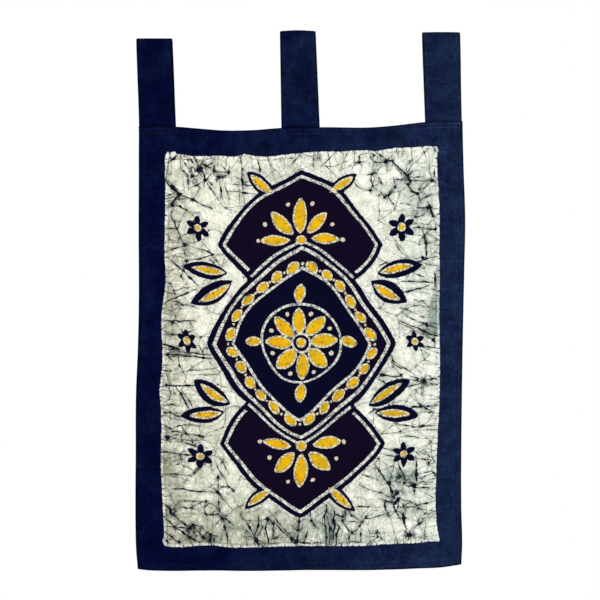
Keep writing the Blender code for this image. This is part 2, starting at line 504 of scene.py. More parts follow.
# Each wobble is a sine and a weaker one across it, with millimetres for one radian.
wobble_x = np.sin(HEIGHT / 23 + 1) + 0.6 * np.sin(SIDE / 14 + HEIGHT / 37)
wobble_z = np.sin(SIDE / 19 + 2) + 0.6 * np.sin(HEIGHT / 12 - SIDE / 41)
X = np.abs(SIDE - DESIGN_CENTRE[0] + HAND_WOBBLE * wobble_x)
Z = np.abs(HEIGHT - DESIGN_CENTRE[1] + HAND_WOBBLE * wobble_z)
print("design spans", int(X[FIELD_EDGE < 0].max()), "by", int(Z[FIELD_EDGE < 0].max()), "mm to each side")

# %% The dark ground and its plum parts. Leaves give side, height, turn, half length and half width
MIDDLE = {"half_width": 146, "half_height": 158, "bulge": 19}
END = {"half_width": 128, "half_height": 116, "bulge": 14}
END_HEIGHT = 154
SPRAYS = ((137, 78, -30, 36, 15), (150, 112, 8, 36, 14))
TOP_LEAF = (62, 243, 38, 30, 11)
FLOWERS = ((158, 176, 12), (177, 0, 10))
FLOWER_PETAL = (0.78, 0.42)
FLOWER_HEART = 7.5


def flower(at_x, at_z, reach):
    """Signed distance to six petals round a place: leaves whose middles lie on a circle round it."""
    petal = [share * reach for share in FLOWER_PETAL]
    return union(*(
        leaf(X, Z, at_x + reach * math.cos(a), at_z + reach * math.sin(a), math.degrees(a), *petal)
        for a in np.radians([30, 90, 150, 210, 270, 330])
    ))


middle = lozenge(X, Z, **MIDDLE)
end = lozenge(X, Z - END_HEIGHT, **END)
spray_leaves = union(*(leaf(X, Z, *each) for each in SPRAYS))
flowers = union(*(flower(*each) for each in FLOWERS))
flower_hearts = union(*(disc(X, Z, x, z, FLOWER_HEART) for x, z, _ in FLOWERS))
NAVY_EDGE = union(middle, end, spray_leaves, flowers, flower_hearts, leaf(X, Z, *TOP_LEAF))

BAND_MIDDLE = -22.0
BAND_HALF = 10.5
END_BORDER = 10.0
END_GAP = 5.0
PLUM_EYE = 14.0
band = np.abs(middle - BAND_MIDDLE) - BAND_HALF
end_ground = np.maximum(end + END_BORDER, END_GAP - middle)
PLUM_EDGE = union(band, end_ground, disc(X, Z, 0, 0, PLUM_EYE))
print("dark share of the field:", round(float((NAVY_EDGE[FIELD_EDGE < 0] < 0).mean()), 2))

# %% The gold parts: the rosette, and beads along the middle lozenge
PETAL_RADIUS = 35.0
PETAL = (18, 8.5)
BUDS = ((0, 77, 90, 13, 6), (73, 0, 0, 11, 5.5))
BEADS_A_SIDE = 6
BEAD = (9, 5.2)
BEAD_BAND = 0.785
BEAD_BOW = 0.95
bead_width = MIDDLE["half_width"] * BEAD_BAND
bead_height = MIDDLE["half_height"] * BEAD_BAND
side_turn = -math.degrees(math.atan2(bead_height, bead_width))


def on_band(t):
    """Place t of the way along one side of the bead band: its chord plus a bow of 4t(1 - t)."""
    bow = MIDDLE["bulge"] * BEAD_BOW * 4 * t * (1 - t)
    chord = math.hypot(bead_width, bead_height)
    return (
        bead_width * (1 - t) + bow * bead_height / chord,
        bead_height * t + bow * bead_width / chord,
    )


petals = union(*(
    leaf(X, Z, PETAL_RADIUS * math.cos(a), PETAL_RADIUS * math.sin(a), math.degrees(a), *PETAL)
    for a in [math.radians(turn) for turn in (0, 45, 90)]
))
bead_places = [on_band((k + 0.5) / BEADS_A_SIDE) for k in range(BEADS_A_SIDE)]
beads = union(*(leaf(X, Z, *place, side_turn, *BEAD) for place in bead_places))
print(len(bead_places), "beads on each side of the middle lozenge")

# %% The gold parts: fans, hearts of the leaves and flowers, and pale dots
FAN = ((0, 44, 90, 24, 9), (27, 31, 43, 19, 7.5), (39, 4, -6, 20, 6.5))
FAN_HEART = (6, 5.5)
ROSETTE_HEART = 6.0
TOP_LEAF_HEART = (62, 243, 38, 18, 4.2)
SPRAY_HEART = (22, 4.2)
SPRAY_SHIFT = 4.0
GOLD_EYE = 3.6
BAND_DOT = 2.4
LOOSE_DOT = 3.4
RING_DOTS = 49.0
FAN_DOTS = ((20, 60), (52, 27), (66, 2))
fan = union(*(leaf(X, Z, x, END_HEIGHT + z, *rest) for x, z, *rest in FAN))
hearts = union(
    disc(X, Z, 0, 0, ROSETTE_HEART),
    disc(X, Z, 0, END_HEIGHT + FAN_HEART[0], FAN_HEART[1]),
    leaf(X, Z, *TOP_LEAF_HEART),
    *(disc(X, Z, x, z, GOLD_EYE) for x, z, _ in FLOWERS),
    *(leaf(X, Z, x - SPRAY_SHIFT, z, turn, *SPRAY_HEART) for x, z, turn, _, _ in SPRAYS),
)
GOLD_EDGE = union(petals, beads, fan, hearts, *(leaf(X, Z, *bud) for bud in BUDS))

dot_places = [on_band(k / BEADS_A_SIDE) for k in range(BEADS_A_SIDE + 1)]
loose_places = [(RING_DOTS * math.cos(a), RING_DOTS * math.sin(a)) for a in np.radians([22.5, 67.5])]
loose_places += [(x, END_HEIGHT + z) for x, z in FAN_DOTS]
DOT_EDGE = union(
    *(disc(X, Z, *place, BAND_DOT) for place in dot_places),
    *(disc(X, Z, *place, LOOSE_DOT) for place in loose_places),
)
print("gold share of the dark ground:", round(float((GOLD_EDGE[NAVY_EDGE < 0] < 0).mean()), 2))

# %% [markdown]
# ## Lines: wax lines and cracks
#
# A thin line would vanish between the grid's points if its own edge were kept. So three numbers are
# kept instead: the signed distance to the line's middle, which runs straight through 0 from one
# side to the other, the plain distance, and the line's half width there. The material draws where
# the first is below the third, but only where the second says that a line is really near.

# %% The wax lines of the design
FAR = 1000.0


def nearest_of(lines):
    """Signed distance, distance and half width of the nearest of several lines at each point.

    Each line is a signed distance, a half width and the points among which it was drawn.
    """
    signed = np.full(SIDE.shape, FAR)
    width = np.zeros(SIDE.shape)
    for distance, half_width, drawn in lines:
        closer = drawn & (np.abs(distance) < np.abs(signed))
        signed = np.where(closer, distance, signed)
        width = np.where(closer, half_width, width)
    return np.stack([signed, np.abs(signed), width], axis=-1)


# Each line: how far it runs inside its shape's edge, its half width and where it was drawn.
everywhere = np.ones(SIDE.shape, bool)
WAX_LINES = nearest_of((
    (middle + 10, 2.4, everywhere),
    (middle + 35, 2.0, everywhere),
    (end + 9, 2.2, middle > 8),
    (disc(X, Z, 0, 0, 15), 1.6, everywhere),
    (disc(X, Z, 0, 0, 60), 1.7, everywhere),
))
OUTER_WAX_LINES = nearest_of(((middle, 2.0, end < -4),))
print("points beside a wax line:", int((WAX_LINES[..., 1] < WAX_LINES[..., 2]).sum()))

# %% [markdown]
# ## Cracks in the wax
#
# Wax cracks where the cloth was folded and crushed. Long cracks run in from the border, they meet in
# dark knots where a fold crossed another, and short ones fan out from those knots. The strong
# ones are listed as in the photograph. The rest come by chance from a fixed seed: from the
# edges, round the knots and as a web between them. Noise could make cracks too, but it can't make
# them run straight and meet. So each point of the cloth keeps its distance to the nearest crack,
# and the material draws the lines from that. A point can keep one distance only, and
# two cracks close together would blur. So the cracks are shared out among layers that keep clear.

# %% Strong cracks, one by one: half width, then side and height of each place on the way
CRACK_ROUTES = (
    (1.9, -209, -214, -186, -235), (1.0, -202, -216, -188, -229), (1.3, -186, -235, -166, -243, -137, -257),
    (1.3, -188, -237, -199, -250), (0.9, -210, -251, -184, -254, -164, -267), (0.8, -210, -238, -192, -233),
    (0.7, -210, -243, -196, -239), (0.7, -210, -247, -199, -245), (0.7, -209, -257, -199, -254),
    (0.9, -197, -256, -199, -268), (1.4, -199, -268, -194, -278, -190, -288),
    (1.3, -190, -288, -184, -301, -179, -313), (1.0, -178, -314, -209, -324), (0.7, -208, -308, -183, -311),
    (0.9, -210, -287, -190, -289), (0.8, -183, -300, -162, -292, -150, -289), (1.0, -171, -279, -164, -285),
    (0.6, -164, -285, -163, -307), (0.6, -170, -312, -139, -301), (0.8, -174, -313, -142, -324, -135, -328),
    (0.9, -172, -336, -154, -335, -138, -329), (0.9, -141, -333, -125, -349), (0.7, -136, -331, -122, -345),
    (0.6, -180, -318, -175, -336), (1.4, -149, -200, -146, -212), (1.1, -163, -176, -157, -190),
    (0.9, -172, -175, -161, -193), (1.0, -147, -175, -152, -190), (0.8, -184, -176, -184, -196),
    (1.2, -184, -196, -175, -203), (0.9, -179, -184, -175, -192), (1.3, -187, -172, -203, -187),
    (0.9, -203, -187, -207, -212), (1.0, -173, -204, -172, -227), (0.8, -171, -226, -149, -216),
    (0.9, -145, -215, -138, -226, -125, -243), (0.8, -142, -214, -131, -224), (1.4, -150, -188, -139, -193),
    (1.0, -133, -185, -142, -190), (1.6, -132, -191, -133, -203), (0.9, -124, -214, -119, -243),
    (0.7, -108, -203, -124, -209), (0.8, -121, -190, -111, -200), (1.2, -109, -194, -111, -202),
    (0.9, -91, -178, -89, -214, -85, -250), (0.6, -94, -217, -92, -256),
    (0.9, -108, -230, -85, -232, -62, -236), (1.0, -67, -176, -61, -197, -61, -214, -66, -243),
    (0.6, -102, -219, -62, -222), (0.7, -117, -218, -109, -241), (1.2, -203, -166, -199, -178),
    (0.8, -14, -191, 0, -173), (0.8, 22, -170, 21, -191), (1.0, 54, -171, 35, -191),
    (1.1, -206, -332, -190, -345, -180, -353), (1.1, -180, -353, -170, -364, -157, -376),
    (1.3, -180, -353, -172, -345), (1.1, -180, -353, -183, -362, -180, -367), (0.6, -171, -347, -141, -354),
    (0.7, -123, -354, -138, -368, -141, -376), (0.8, -208, -345, -207, -372),
    (0.8, -210, -371, -200, -373, -194, -386), (1.0, -210, -384, -202, -388, -192, -389),
    (1.0, -211, -405, -201, -399, -191, -395, -175, -388, -160, -382),
    (0.9, -201, -400, -188, -402, -182, -406, -162, -409), (0.7, -191, -406, -160, -407),
    (1.0, -214, -431, -162, -431), (0.7, -171, -431, -167, -439), (1.6, -166, -446, -180, -451),
    (1.0, -180, -451, -176, -455), (0.9, -211, -453, -197, -452, -182, -451), (0.6, -169, -456, -141, -456),
    (1.8, -214, -466, -201, -470, -187, -475), (1.2, -201, -476, -170, -481, -125, -484),
    (1.2, -206, -483, -171, -483), (1.3, -201, -485, -170, -486, -149, -488, -125, -489),
    (1.1, -136, -446, -125, -459), (0.8, -206, -484, -197, -492), (0.9, -188, -486, -186, -500, -178, -515),
    (1.3, -213, -508, -199, -510), (0.7, -185, -510, -170, -508, -126, -504), (0.6, -169, -514, -124, -515),
    (1.1, -214, -533, -206, -531, -171, -532, -156, -530, -125, -529),
    (0.6, -206, -514, -200, -543, -202, -553, -211, -558),
    (1.1, -191, -535, -183, -545, -176, -559, -170, -572, -161, -583),
    (0.8, -182, -539, -171, -555, -158, -579), (0.8, -214, -564, -200, -561, -182, -563),
    (1.2, -214, -566, -209, -574, -198, -574), (0.9, -198, -574, -187, -580, -178, -586),
    (0.7, -192, -575, -175, -572, -165, -580), (0.7, -182, -580, -163, -581),
    (0.9, -197, -598, -188, -594, -178, -592, -157, -593),
    (1.0, -209, -593, -201, -598, -197, -602, -178, -605), (1.1, -183, -594, -176, -606, -162, -608),
    (1.4, -162, -608, -147, -611), (0.8, -183, -605, -183, -614), (0.8, -197, -612, -182, -616, -148, -616),
    (0.9, -189, -617, -175, -621, -163, -625, -145, -628), (1.0, -166, -616, -166, -621),
    (1.5, -214, -635, -206, -634, -191, -637), (1.2, -191, -637, -175, -639, -145, -640),
    (0.6, -184, -637, -178, -633, -170, -632), (1.0, -140, -645, -147, -652, -154, -660, -163, -667),
    (0.6, -138, -646, -136, -664), (0.8, -131, -648, -123, -667), (0.8, -120, -648, -110, -668),
    (0.9, -214, -668, -192, -669, -168, -671), (0.9, -214, -691, -182, -692, -154, -696, -127, -697),
    (0.6, -141, -680, -132, -691), (1.4, -132, -691, -127, -697, -118, -708), (0.7, -118, -708, -104, -723),
    (1.2, -123, -664, -120, -671), (0.9, -118, -671, -110, -688, -102, -693), (0.7, -126, -677, -126, -696),
    (0.9, -126, -698, -125, -727), (0.8, -185, -710, -146, -711), (0.9, -145, -732, -126, -731),
    (1.5, -126, -731, -120, -738, -113, -739), (1.0, -117, -743, -116, -751, -112, -764, -111, -776),
    (0.8, -113, -739, -103, -747), (0.7, -123, -739, -132, -750), (1.5, -201, -721, -199, -728, -189, -738),
    (1.3, -189, -738, -178, -747, -170, -754), (1.2, -211, -714, -201, -722), (1.1, -195, -750, -170, -753),
    (1.1, -211, -734, -194, -750), (1.4, -194, -750, -181, -759, -170, -767), (1.4, -170, -767, -157, -774),
    (1.2, -170, -753, -166, -747, -153, -751), (0.9, -153, -751, -139, -763, -132, -771),
    (1.2, -165, -750, -149, -767, -141, -776), (1.4, -207, -759, -188, -774), (1.0, -206, -770, -203, -775),
    (0.9, -186, -720, -167, -722), (1.2, -89, -736, -77, -751, -67, -769), (0.8, -87, -753, -76, -761),
    (1.4, -138, -766, -140, -776), (1.3, -132, -769, -132, -776),
    (1.2, -50, -741, -53, -753, -48, -770, -47, -777), (1.2, -63, -735, -64, -747, -70, -767),
    (1.2, -60, -741, -57, -751, -64, -762), (1.8, -70, -766, -63, -779),
    (1.0, -44, -741, -40, -747, -41, -755, -40, -766),
    (0.8, -46, -726, -35, -740, -22, -757, -11, -769, -5, -775),
    (0.9, -40, -741, -30, -753, -12, -772, -8, -777), (1.1, -2, -715, 0, -724, -1, -743, -2, -755),
    (1.3, -2, -755, -4, -772, -4, -778), (1.2, 12, -759, 8, -772), (1.3, -3, -774, 16, -777),
    (0.7, 6, -716, 7, -735), (0.7, 10, -712, 13, -738), (0.7, 14, -709, 16, -732),
    (0.7, 21, -709, 26, -718), (1.2, 18, -719, 17, -734, 19, -742), (1.2, 19, -742, 23, -748, 28, -753),
    (1.4, 42, -717, 42, -726, 38, -734, 40, -749), (1.5, 40, -749, 42, -767, 41, -778),
    (1.6, 54, -724, 53, -741, 54, -749, 52, -769), (1.3, 43, -735, 48, -753, 46, -777),
    (1.0, 50, -737, 50, -774), (1.4, 55, -730, 67, -735), (1.1, 70, -724, 77, -726, 80, -732, 94, -740),
    (0.9, 67, -743, 76, -755, 85, -761), (1.1, 57, -746, 62, -751, 57, -762, 57, -778),
    (1.0, 76, -757, 77, -775), (0.6, 79, -722, 94, -718, 101, -718), (0.9, 79, -773, 101, -774),
    (0.8, 85, -761, 93, -750), (1.1, 127, -627, 145, -632, 154, -637), (0.9, 127, -637, 149, -642),
    (0.9, 151, -646, 156, -659, 162, -671, 166, -688), (0.6, 149, -646, 145, -659, 141, -679),
    (1.0, 116, -652, 124, -663, 131, -675, 137, -682), (1.7, 138, -682, 143, -695, 147, -704),
    (1.1, 145, -713, 148, -723, 150, -727, 156, -738), (1.1, 154, -713, 151, -725),
    (2.3, 161, -731, 162, -745), (1.1, 162, -745, 166, -753), (1.0, 106, -692, 125, -697, 139, -704),
    (1.2, 125, -707, 144, -713), (0.8, 155, -709, 172, -711, 181, -716),
    (0.9, 156, -719, 177, -720, 183, -721), (0.9, 183, -717, 211, -710), (1.3, 181, -642, 181, -663),
    (2.2, 181, -663, 182, -678), (1.4, 179, -692, 178, -700), (0.9, 183, -690, 203, -689),
    (0.7, 184, -692, 196, -699, 207, -705), (0.8, 187, -681, 205, -681), (0.7, 188, -684, 204, -684),
    (0.8, 183, -676, 206, -668), (0.7, 188, -668, 205, -664), (1.0, 199, -654, 203, -649),
    (1.2, 206, -665, 211, -670), (0.7, 186, -634, 201, -641), (0.8, 183, -644, 203, -647),
    (1.0, 188, -745, 172, -757), (0.8, 188, -745, 192, -738, 211, -733),
    (1.3, 164, -757, 170, -764, 176, -757), (0.9, 103, -735, 93, -749),
    (0.8, 107, -738, 124, -733, 135, -729), (1.4, 132, -713, 133, -724), (1.1, 95, -752, 95, -770),
    (0.8, 104, -765, 122, -765), (0.8, 110, -760, 133, -759), (0.6, 85, -656, 109, -662),
    (0.7, 88, -666, 124, -678), (0.8, 93, -685, 106, -692), (0.6, 86, -719, 124, -720),
    (0.7, 179, -353, 176, -360), (0.8, 179, -358, 193, -363),
    (0.9, 156, -369, 170, -370, 195, -370, 210, -373), (1.1, 160, -388, 165, -386, 187, -381, 200, -376),
    (1.2, 210, -357, 210, -377), (1.1, 157, -411, 166, -413, 181, -420), (0.9, 187, -424, 197, -426),
    (0.9, 160, -419, 174, -428, 193, -435, 198, -438, 211, -441),
    (1.1, 156, -431, 185, -443, 193, -447, 201, -451, 210, -453), (0.7, 156, -434, 176, -444, 196, -455),
    (1.0, 210, -453, 210, -471), (0.8, 193, -471, 211, -473), (0.6, 167, -406, 193, -408),
    (0.9, 125, -475, 143, -484, 145, -493, 161, -504), (0.7, 121, -485, 143, -485),
    (1.0, 143, -496, 156, -504, 164, -505, 178, -514), (1.4, 114, -508, 128, -515, 158, -518),
    (1.1, 112, -515, 119, -518), (0.8, 160, -520, 183, -524, 191, -527),
    (0.9, 173, -517, 183, -520, 192, -522), (1.0, 194, -522, 214, -521), (1.1, 199, -527, 213, -530),
    (1.2, 191, -527, 173, -532, 156, -535, 147, -539),
    (1.3, 124, -522, 130, -526, 142, -534, 147, -539, 145, -544), (0.7, 114, -537, 137, -537),
    (0.8, 145, -544, 138, -554), (1.1, 137, -553, 130, -559), (0.9, 138, -554, 139, -562, 143, -566),
    (1.2, 107, -575, 116, -568, 133, -568, 143, -566), (1.0, 143, -566, 152, -567, 165, -568),
    (1.4, 168, -567, 176, -565, 189, -564), (1.1, 189, -564, 214, -563),
    (0.9, 181, -554, 189, -562, 196, -567, 207, -574), (0.8, 191, -572, 214, -574),
    (0.8, 147, -590, 165, -593, 177, -595, 187, -595, 191, -593, 213, -594),
    (0.6, 156, -611, 168, -609, 183, -612, 198, -614), (0.6, 156, -628, 165, -620),
    (0.9, 94, -173, 93, -185), (0.6, 93, -185, 77, -191, 65, -197),
    (0.9, 110, -168, 111, -178, 118, -185, 124, -186), (1.0, 118, -169, 134, -180),
    (1.6, 124, -186, 137, -182, 144, -183), (1.3, 144, -184, 154, -193, 164, -203, 169, -207),
    (0.7, 147, -189, 158, -203, 165, -205), (1.4, 169, -206, 174, -200),
    (1.4, 169, -207, 172, -215, 168, -220), (1.3, 168, -220, 174, -229, 182, -234, 187, -243),
    (1.3, 199, -248, 202, -255, 205, -264, 208, -269), (1.6, 186, -256, 204, -255),
    (1.2, 191, -242, 202, -236), (0.9, 180, -271, 191, -267, 199, -261),
    (0.8, 142, -211, 152, -212, 170, -213, 203, -214, 211, -215), (0.9, 146, -209, 148, -221),
    (1.3, 107, -204, 118, -201), (0.9, 112, -204, 111, -213, 114, -221, 118, -227),
    (0.6, 118, -202, 127, -190), (0.6, 119, -203, 129, -217), (1.4, 127, -233, 132, -239, 138, -236),
    (0.7, 138, -236, 148, -226), (0.9, 142, -245, 150, -254), (0.6, 158, -249, 178, -252),
    (0.6, 151, -278, 170, -268), (0.6, 151, -278, 178, -289),
    (0.9, 174, -287, 185, -286, 204, -289, 212, -289),
    (1.1, 191, -289, 193, -298, 196, -311, 197, -327, 196, -335), (0.6, 156, -295, 186, -298),
    (0.7, 142, -297, 155, -320, 168, -336), (1.1, 125, -345, 134, -341, 142, -346, 156, -344, 170, -337),
    (1.0, 170, -338, 176, -342, 186, -339, 196, -335, 212, -331), (1.0, 209, -197, 209, -208),
    (0.6, 174, -208, 192, -208), (1.0, 206, -160, 214, -172),
)
print(len(CRACK_ROUTES), "routes of strong cracks")

# %% Dark knots: side, height, radius of the dark spot and reach of the cracks round it
KNOTS = (
    (-186, -235, 5.5, 16), (-166, -243, 3, 12), (-197, -252, 4, 12), (-155, -196, 7, 14),
    (-166, -207, 5, 12), (-146, -213, 4.5, 14), (-178, -313, 4.5, 14), (-135, -328, 3.5, 12),
    (-174, -338, 4, 12), (-177, -346, 3, 10), (-132, -199, 3.5, 10), (-125, -209, 4, 12),
    (-110, -201, 3.5, 12), (-89, -213, 4, 12), (-61, -217, 3.5, 14), (-190, -288, 3, 10),
    (-208, -214, 3.5, 10), (-186, -304, 3, 8), (-180, -353, 3.5, 14), (-180, -450, 3.5, 12),
    (-197, -433, 4, 10), (-197, -452, 2.5, 8), (-204, -483, 4, 10), (-190, -474, 3.5, 10),
    (-150, -479, 2.5, 8), (-206, -531, 2.5, 8), (-185, -544, 3, 10), (-200, -573, 3, 10),
    (-205, -612, 5.5, 14), (-163, -625, 3.5, 12), (-176, -606, 3, 10), (-150, -611, 3, 10),
    (-184, -639, 2.5, 8), (-147, -652, 2.5, 8), (-157, -659, 2, 8), (-163, -667, 2.5, 8),
    (-119, -650, 2.5, 8), (-201, -598, 2.5, 8), (-127, -697, 4, 14), (-126, -673, 3.5, 10),
    (-124, -725, 3, 10), (-145, -711, 3, 12), (-120, -738, 3, 10), (-115, -738, 3.5, 12),
    (-145, -731, 2.5, 8), (-116, -750, 2.5, 10), (-200, -725, 4.5, 10), (-170, -753, 4.5, 12),
    (-194, -750, 3, 10), (-170, -767, 3.5, 10), (-149, -767, 3.5, 10), (-138, -763, 3.5, 10),
    (-187, -774, 3.5, 8), (-167, -721, 2.5, 8), (-192, -717, 2.5, 8), (-67, -769, 4, 14),
    (-102, -695, 3, 10), (-49, -738, 4, 10), (-40, -746, 2.5, 8), (-1, -743, 3, 10), (-2, -756, 4, 12),
    (-5, -774, 5, 12), (19, -741, 4, 12), (67, -734, 3.5, 12), (67, -741, 2.5, 8), (71, -725, 3.5, 10),
    (82, -759, 3.5, 12), (150, -643, 3.5, 12), (123, -662, 2.5, 8), (139, -682, 5, 12),
    (162, -682, 3.5, 10), (151, -697, 4.5, 10), (152, -708, 5, 14), (145, -704, 3.5, 10),
    (148, -714, 4, 10), (149, -726, 3, 8), (161, -736, 4.5, 8), (162, -719, 2.5, 8), (181, -716, 3, 10),
    (184, -722, 3, 10), (178, -687, 6, 12), (200, -653, 3, 10), (187, -745, 3, 12), (171, -763, 5.5, 10),
    (103, -735, 4, 12), (93, -749, 3.5, 12), (120, -757, 3, 10), (121, -765, 3.5, 10), (136, -729, 3.5, 10),
    (156, -672, 4, 10), (179, -349, 3.5, 12), (197, -436, 4, 12), (193, -447, 3, 10), (208, -460, 5, 10),
    (128, -515, 3, 10), (157, -515, 4, 10), (193, -524, 5, 12), (145, -540, 4, 10), (137, -553, 4, 10),
    (145, -566, 3, 10), (165, -568, 2.5, 8), (188, -564, 4, 14), (150, -590, 2.5, 8), (187, -595, 3.5, 12),
    (204, -619, 2.5, 8), (93, -185, 3.5, 12), (116, -174, 3, 10), (134, -184, 5, 12), (143, -183, 3, 10),
    (168, -205, 4.5, 14), (172, -215, 3, 10), (168, -220, 4, 12), (183, -234, 4, 12), (200, -254, 5, 12),
    (186, -256, 3, 10), (207, -268, 3, 10), (180, -270, 3.5, 12), (153, -212, 2.5, 8), (206, -214, 4.5, 10),
    (148, -223, 3.5, 12), (113, -203, 3.5, 14), (127, -217, 2.5, 8), (110, -228, 3, 10),
    (138, -236, 3.5, 12), (210, -289, 3, 10), (193, -298, 2.5, 8), (196, -311, 2.5, 10),
    (170, -337, 3.5, 12), (143, -347, 4, 14), (174, -342, 3.5, 12), (191, -333, 4, 12), (180, -347, 3, 10),
)
print(len(KNOTS), "dark knots")

# %% Places where the wax is crushed to a fine net: side, height and reach
CRUSHED_PLACES = (
    (-166, -207, 14), (-155, -197, 12), (-125, -209, 9), (-186, -240, 12), (-198, -727, 10),
    (-172, -754, 10), (-150, -762, 14), (-35, -768, 10), (154, -675, 12), (149, -705, 12), (171, -763, 10),
    (178, -684, 7), (-204, -612, 9), (193, -525, 8), (-178, -316, 8), (168, -212, 9),
)
print(len(CRUSHED_PLACES), "crushed places")

# %% Stains: where dye crept under the wax and left a grey-green haze
STAINS = {
    "side": (
        -204, -182, -201, -170, -198, -150, -53, 47, 145, 174, 199, 187, 202, -53, -146, 0, -160,
        207, 203, 203, 166, 47, 0, -131, -204,
    ),
    "height": (
        -476, -298, -414, -476, -670, -745, -742, -735, -678, -675, -437, -236, -321, -210, -600, -775, -768,
        -395, -420, -442, -400, -752, -762, -470, -655,
    ),
    "reach_x": (
        16, 30, 22, 50, 30, 80, 60, 40, 22, 10, 14, 35, 16, 50, 30, 190, 60,
        5, 8, 9, 4, 9, 12, 7, 8,
    ),
    "reach_z": (
        330, 50, 40, 14, 60, 40, 44, 42, 40, 35, 30, 40, 45, 30, 60, 22, 26,
        16, 22, 14, 40, 26, 16, 24, 16,
    ),
    "strength": (
        0.35, 0.35, 0.4, 0.4, 0.4, 0.45, 0.5, 0.5, 0.6, 0.5, 0.4, 0.4, 0.3, 0.3, 0.25, 0.3, 0.2,
        0.2, 0.15, 0.2, 0.4, 0.7, 0.5, 0.5, 0.5,
    ),
}


def stain_map(x, z):
    """How strong the haze is at a place: for each stain a bell across times a bell up."""
    amount = 0
    for stain in rows_of(STAINS):
        across = bell((x - stain["side"]) / stain["reach_x"])
        amount = amount + stain["strength"] * across * bell((z - stain["height"]) / stain["reach_z"])
    return amount


FOLDED = {
    "height": (-458.0, -400.0, -345.0), "side": (194.0, 203.0, 212.0),
    "strength": 1.0, "edge": 1.8, "fade": 8.0,
}


def fold_stain(x, z):
    """A stain with a crisp edge, where a fold held dye. It covers all that lies right of a line, and
    fades towards both of the line's ends."""
    line = np.interp(z, FOLDED["height"], FOLDED["side"])
    low, high = FOLDED["height"][0], FOLDED["height"][-1]
    ends = ease((z - low) / FOLDED["fade"]) * ease((high - z) / FOLDED["fade"])
    return FOLDED["strength"] * ease((x - line) / FOLDED["edge"]) * ends


STAIN = stain_map(SIDE, HEIGHT) + fold_stain(SIDE, HEIGHT)
print("strongest haze:", round(float(STAIN.max()), 2))

# %% Curves for cracks
CRACK_STEPS = 9
WANDER_SHARE = 0.02
MOST_WANDER = 0.8
WAIST = 0.33
RAY_BOW = 0.03
RAY_TIP = 0.15
chance = np.random.default_rng(11)


def crack(start, end, bow, half_width, end_width=None):
    """Points and half widths along one crack.

    A straight line, plus a bow of 4t(1 - t), plus a wander of two sines with chance phases. The
    half width goes from that of the start to that of the end, and is a third less between them.
    """
    start, end = np.array(start, float), np.array(end, float)
    run = end - start
    length = np.hypot(*run)
    t = np.linspace(0, 1, CRACK_STEPS + 1)
    phase = chance.uniform(0, 2 * math.pi, 2)
    wander = np.sin(5 * t + phase[0]) + 0.6 * np.sin(13 * t + phase[1])
    off = bow * 4 * t * (1 - t) + wander * min(WANDER_SHARE * length, MOST_WANDER)
    normal = np.array([-run[1], run[0]]) / length
    points = start + run * t[:, None] + normal * off[:, None]
    widths = between((half_width, half_width if end_width is None else end_width), t)
    return points, widths * (1 - WAIST * 4 * t * (1 - t))


def chance_crack(at, turn, length, half_width):
    """A crack that starts at a place, runs off at an angle given in degrees and tapers away."""
    turn = math.radians(turn)
    end = (at[0] + length * math.cos(turn), at[1] + length * math.sin(turn))
    return crack(at, end, chance.normal(0, RAY_BOW * length), half_width, RAY_TIP * half_width)


TIP_SHARE = 0.5
HAND_WIDENING = 1.3
hand_cracks = []
for half_width, *route in CRACK_ROUTES:
    half_width = half_width * HAND_WIDENING
    places = list(zip(route[::2], route[1::2]))
    if len(places) == 2:
        places.insert(1, tuple((a + b) / 2 for a, b in zip(*places)))
    widths = [half_width] * len(places)
    widths[0] = widths[-1] = TIP_SHARE * half_width
    for k in range(len(places) - 1):
        hand_cracks.append(crack(places[k], places[k + 1], 0, widths[k], widths[k + 1]))
print(len(hand_cracks), "stretches of crack placed by hand")

# %% Cracks by chance: from the edges
FIELD_BOX = {"left": -214.0, "right": 214.0, "low": -779.0, "high": -168.0}
CORNER_GAPS = (8, 6)
FROM_SIDES = {
    "pitch": 13, "shift": 4, "least": 14, "spread": 34, "most": 90, "turn": 14, "half_width": (0.2, 0.75),
}
FROM_ENDS = {
    "pitch": 10, "shift": 4, "least": 12, "spread": 34, "most": 96, "turn": 13, "half_width": (0.25, 0.8),
}


def cracks_from(edge, inward, between_edges, kind):
    """Cracks at an even pitch along an edge of the field. Chance shifts each, turns it from the inward
    direction and gives its length, a least one plus an exponential spread, up to a limit."""
    made = []
    first, last = (FIELD_BOX[name] for name in between_edges)
    for along in np.arange(first + CORNER_GAPS[0], last - CORNER_GAPS[1], kind["pitch"]):
        along = along + chance.normal(0, kind["shift"])
        at = (FIELD_BOX[edge], along) if edge in ("left", "right") else (along, FIELD_BOX[edge])
        length = min(kind["least"] + chance.exponential(kind["spread"]), kind["most"])
        turn = inward + chance.normal(0, kind["turn"])
        made.append(chance_crack(at, turn, length, chance.uniform(*kind["half_width"])))
    return made


edge_cracks = [
    *cracks_from("left", 0, ("low", "high"), FROM_SIDES),
    *cracks_from("right", 180, ("low", "high"), FROM_SIDES),
    *cracks_from("low", 90, ("left", "right"), FROM_ENDS),
    *cracks_from("high", -90, ("left", "right"), FROM_ENDS),
]
print(len(edge_cracks), "cracks from the edges")

# %% Cracks by chance: rays round the knots
RAY_COUNT = (2, 5)
RAY_UNEVEN = 0.35
RAY_LENGTH = (0.5, 1.6)
RAY_WIDTH = (0.3, 0.16)
RAY_WIDTH_SHARE = (0.6, 1.1)
rays = []
for side_x, height, radius, reach in KNOTS:
    count = int(chance.integers(*RAY_COUNT))
    first = chance.uniform(0, 360)
    for k in range(count):
        turn = first + 360 * (k + chance.uniform(-RAY_UNEVEN, RAY_UNEVEN)) / count
        length = reach * chance.uniform(*RAY_LENGTH)
        widest = (RAY_WIDTH[0] + RAY_WIDTH[1] * radius) * chance.uniform(*RAY_WIDTH_SHARE)
        rays.append(chance_crack((side_x, height), turn, length, widest))
print(len(rays), "rays round the knots")

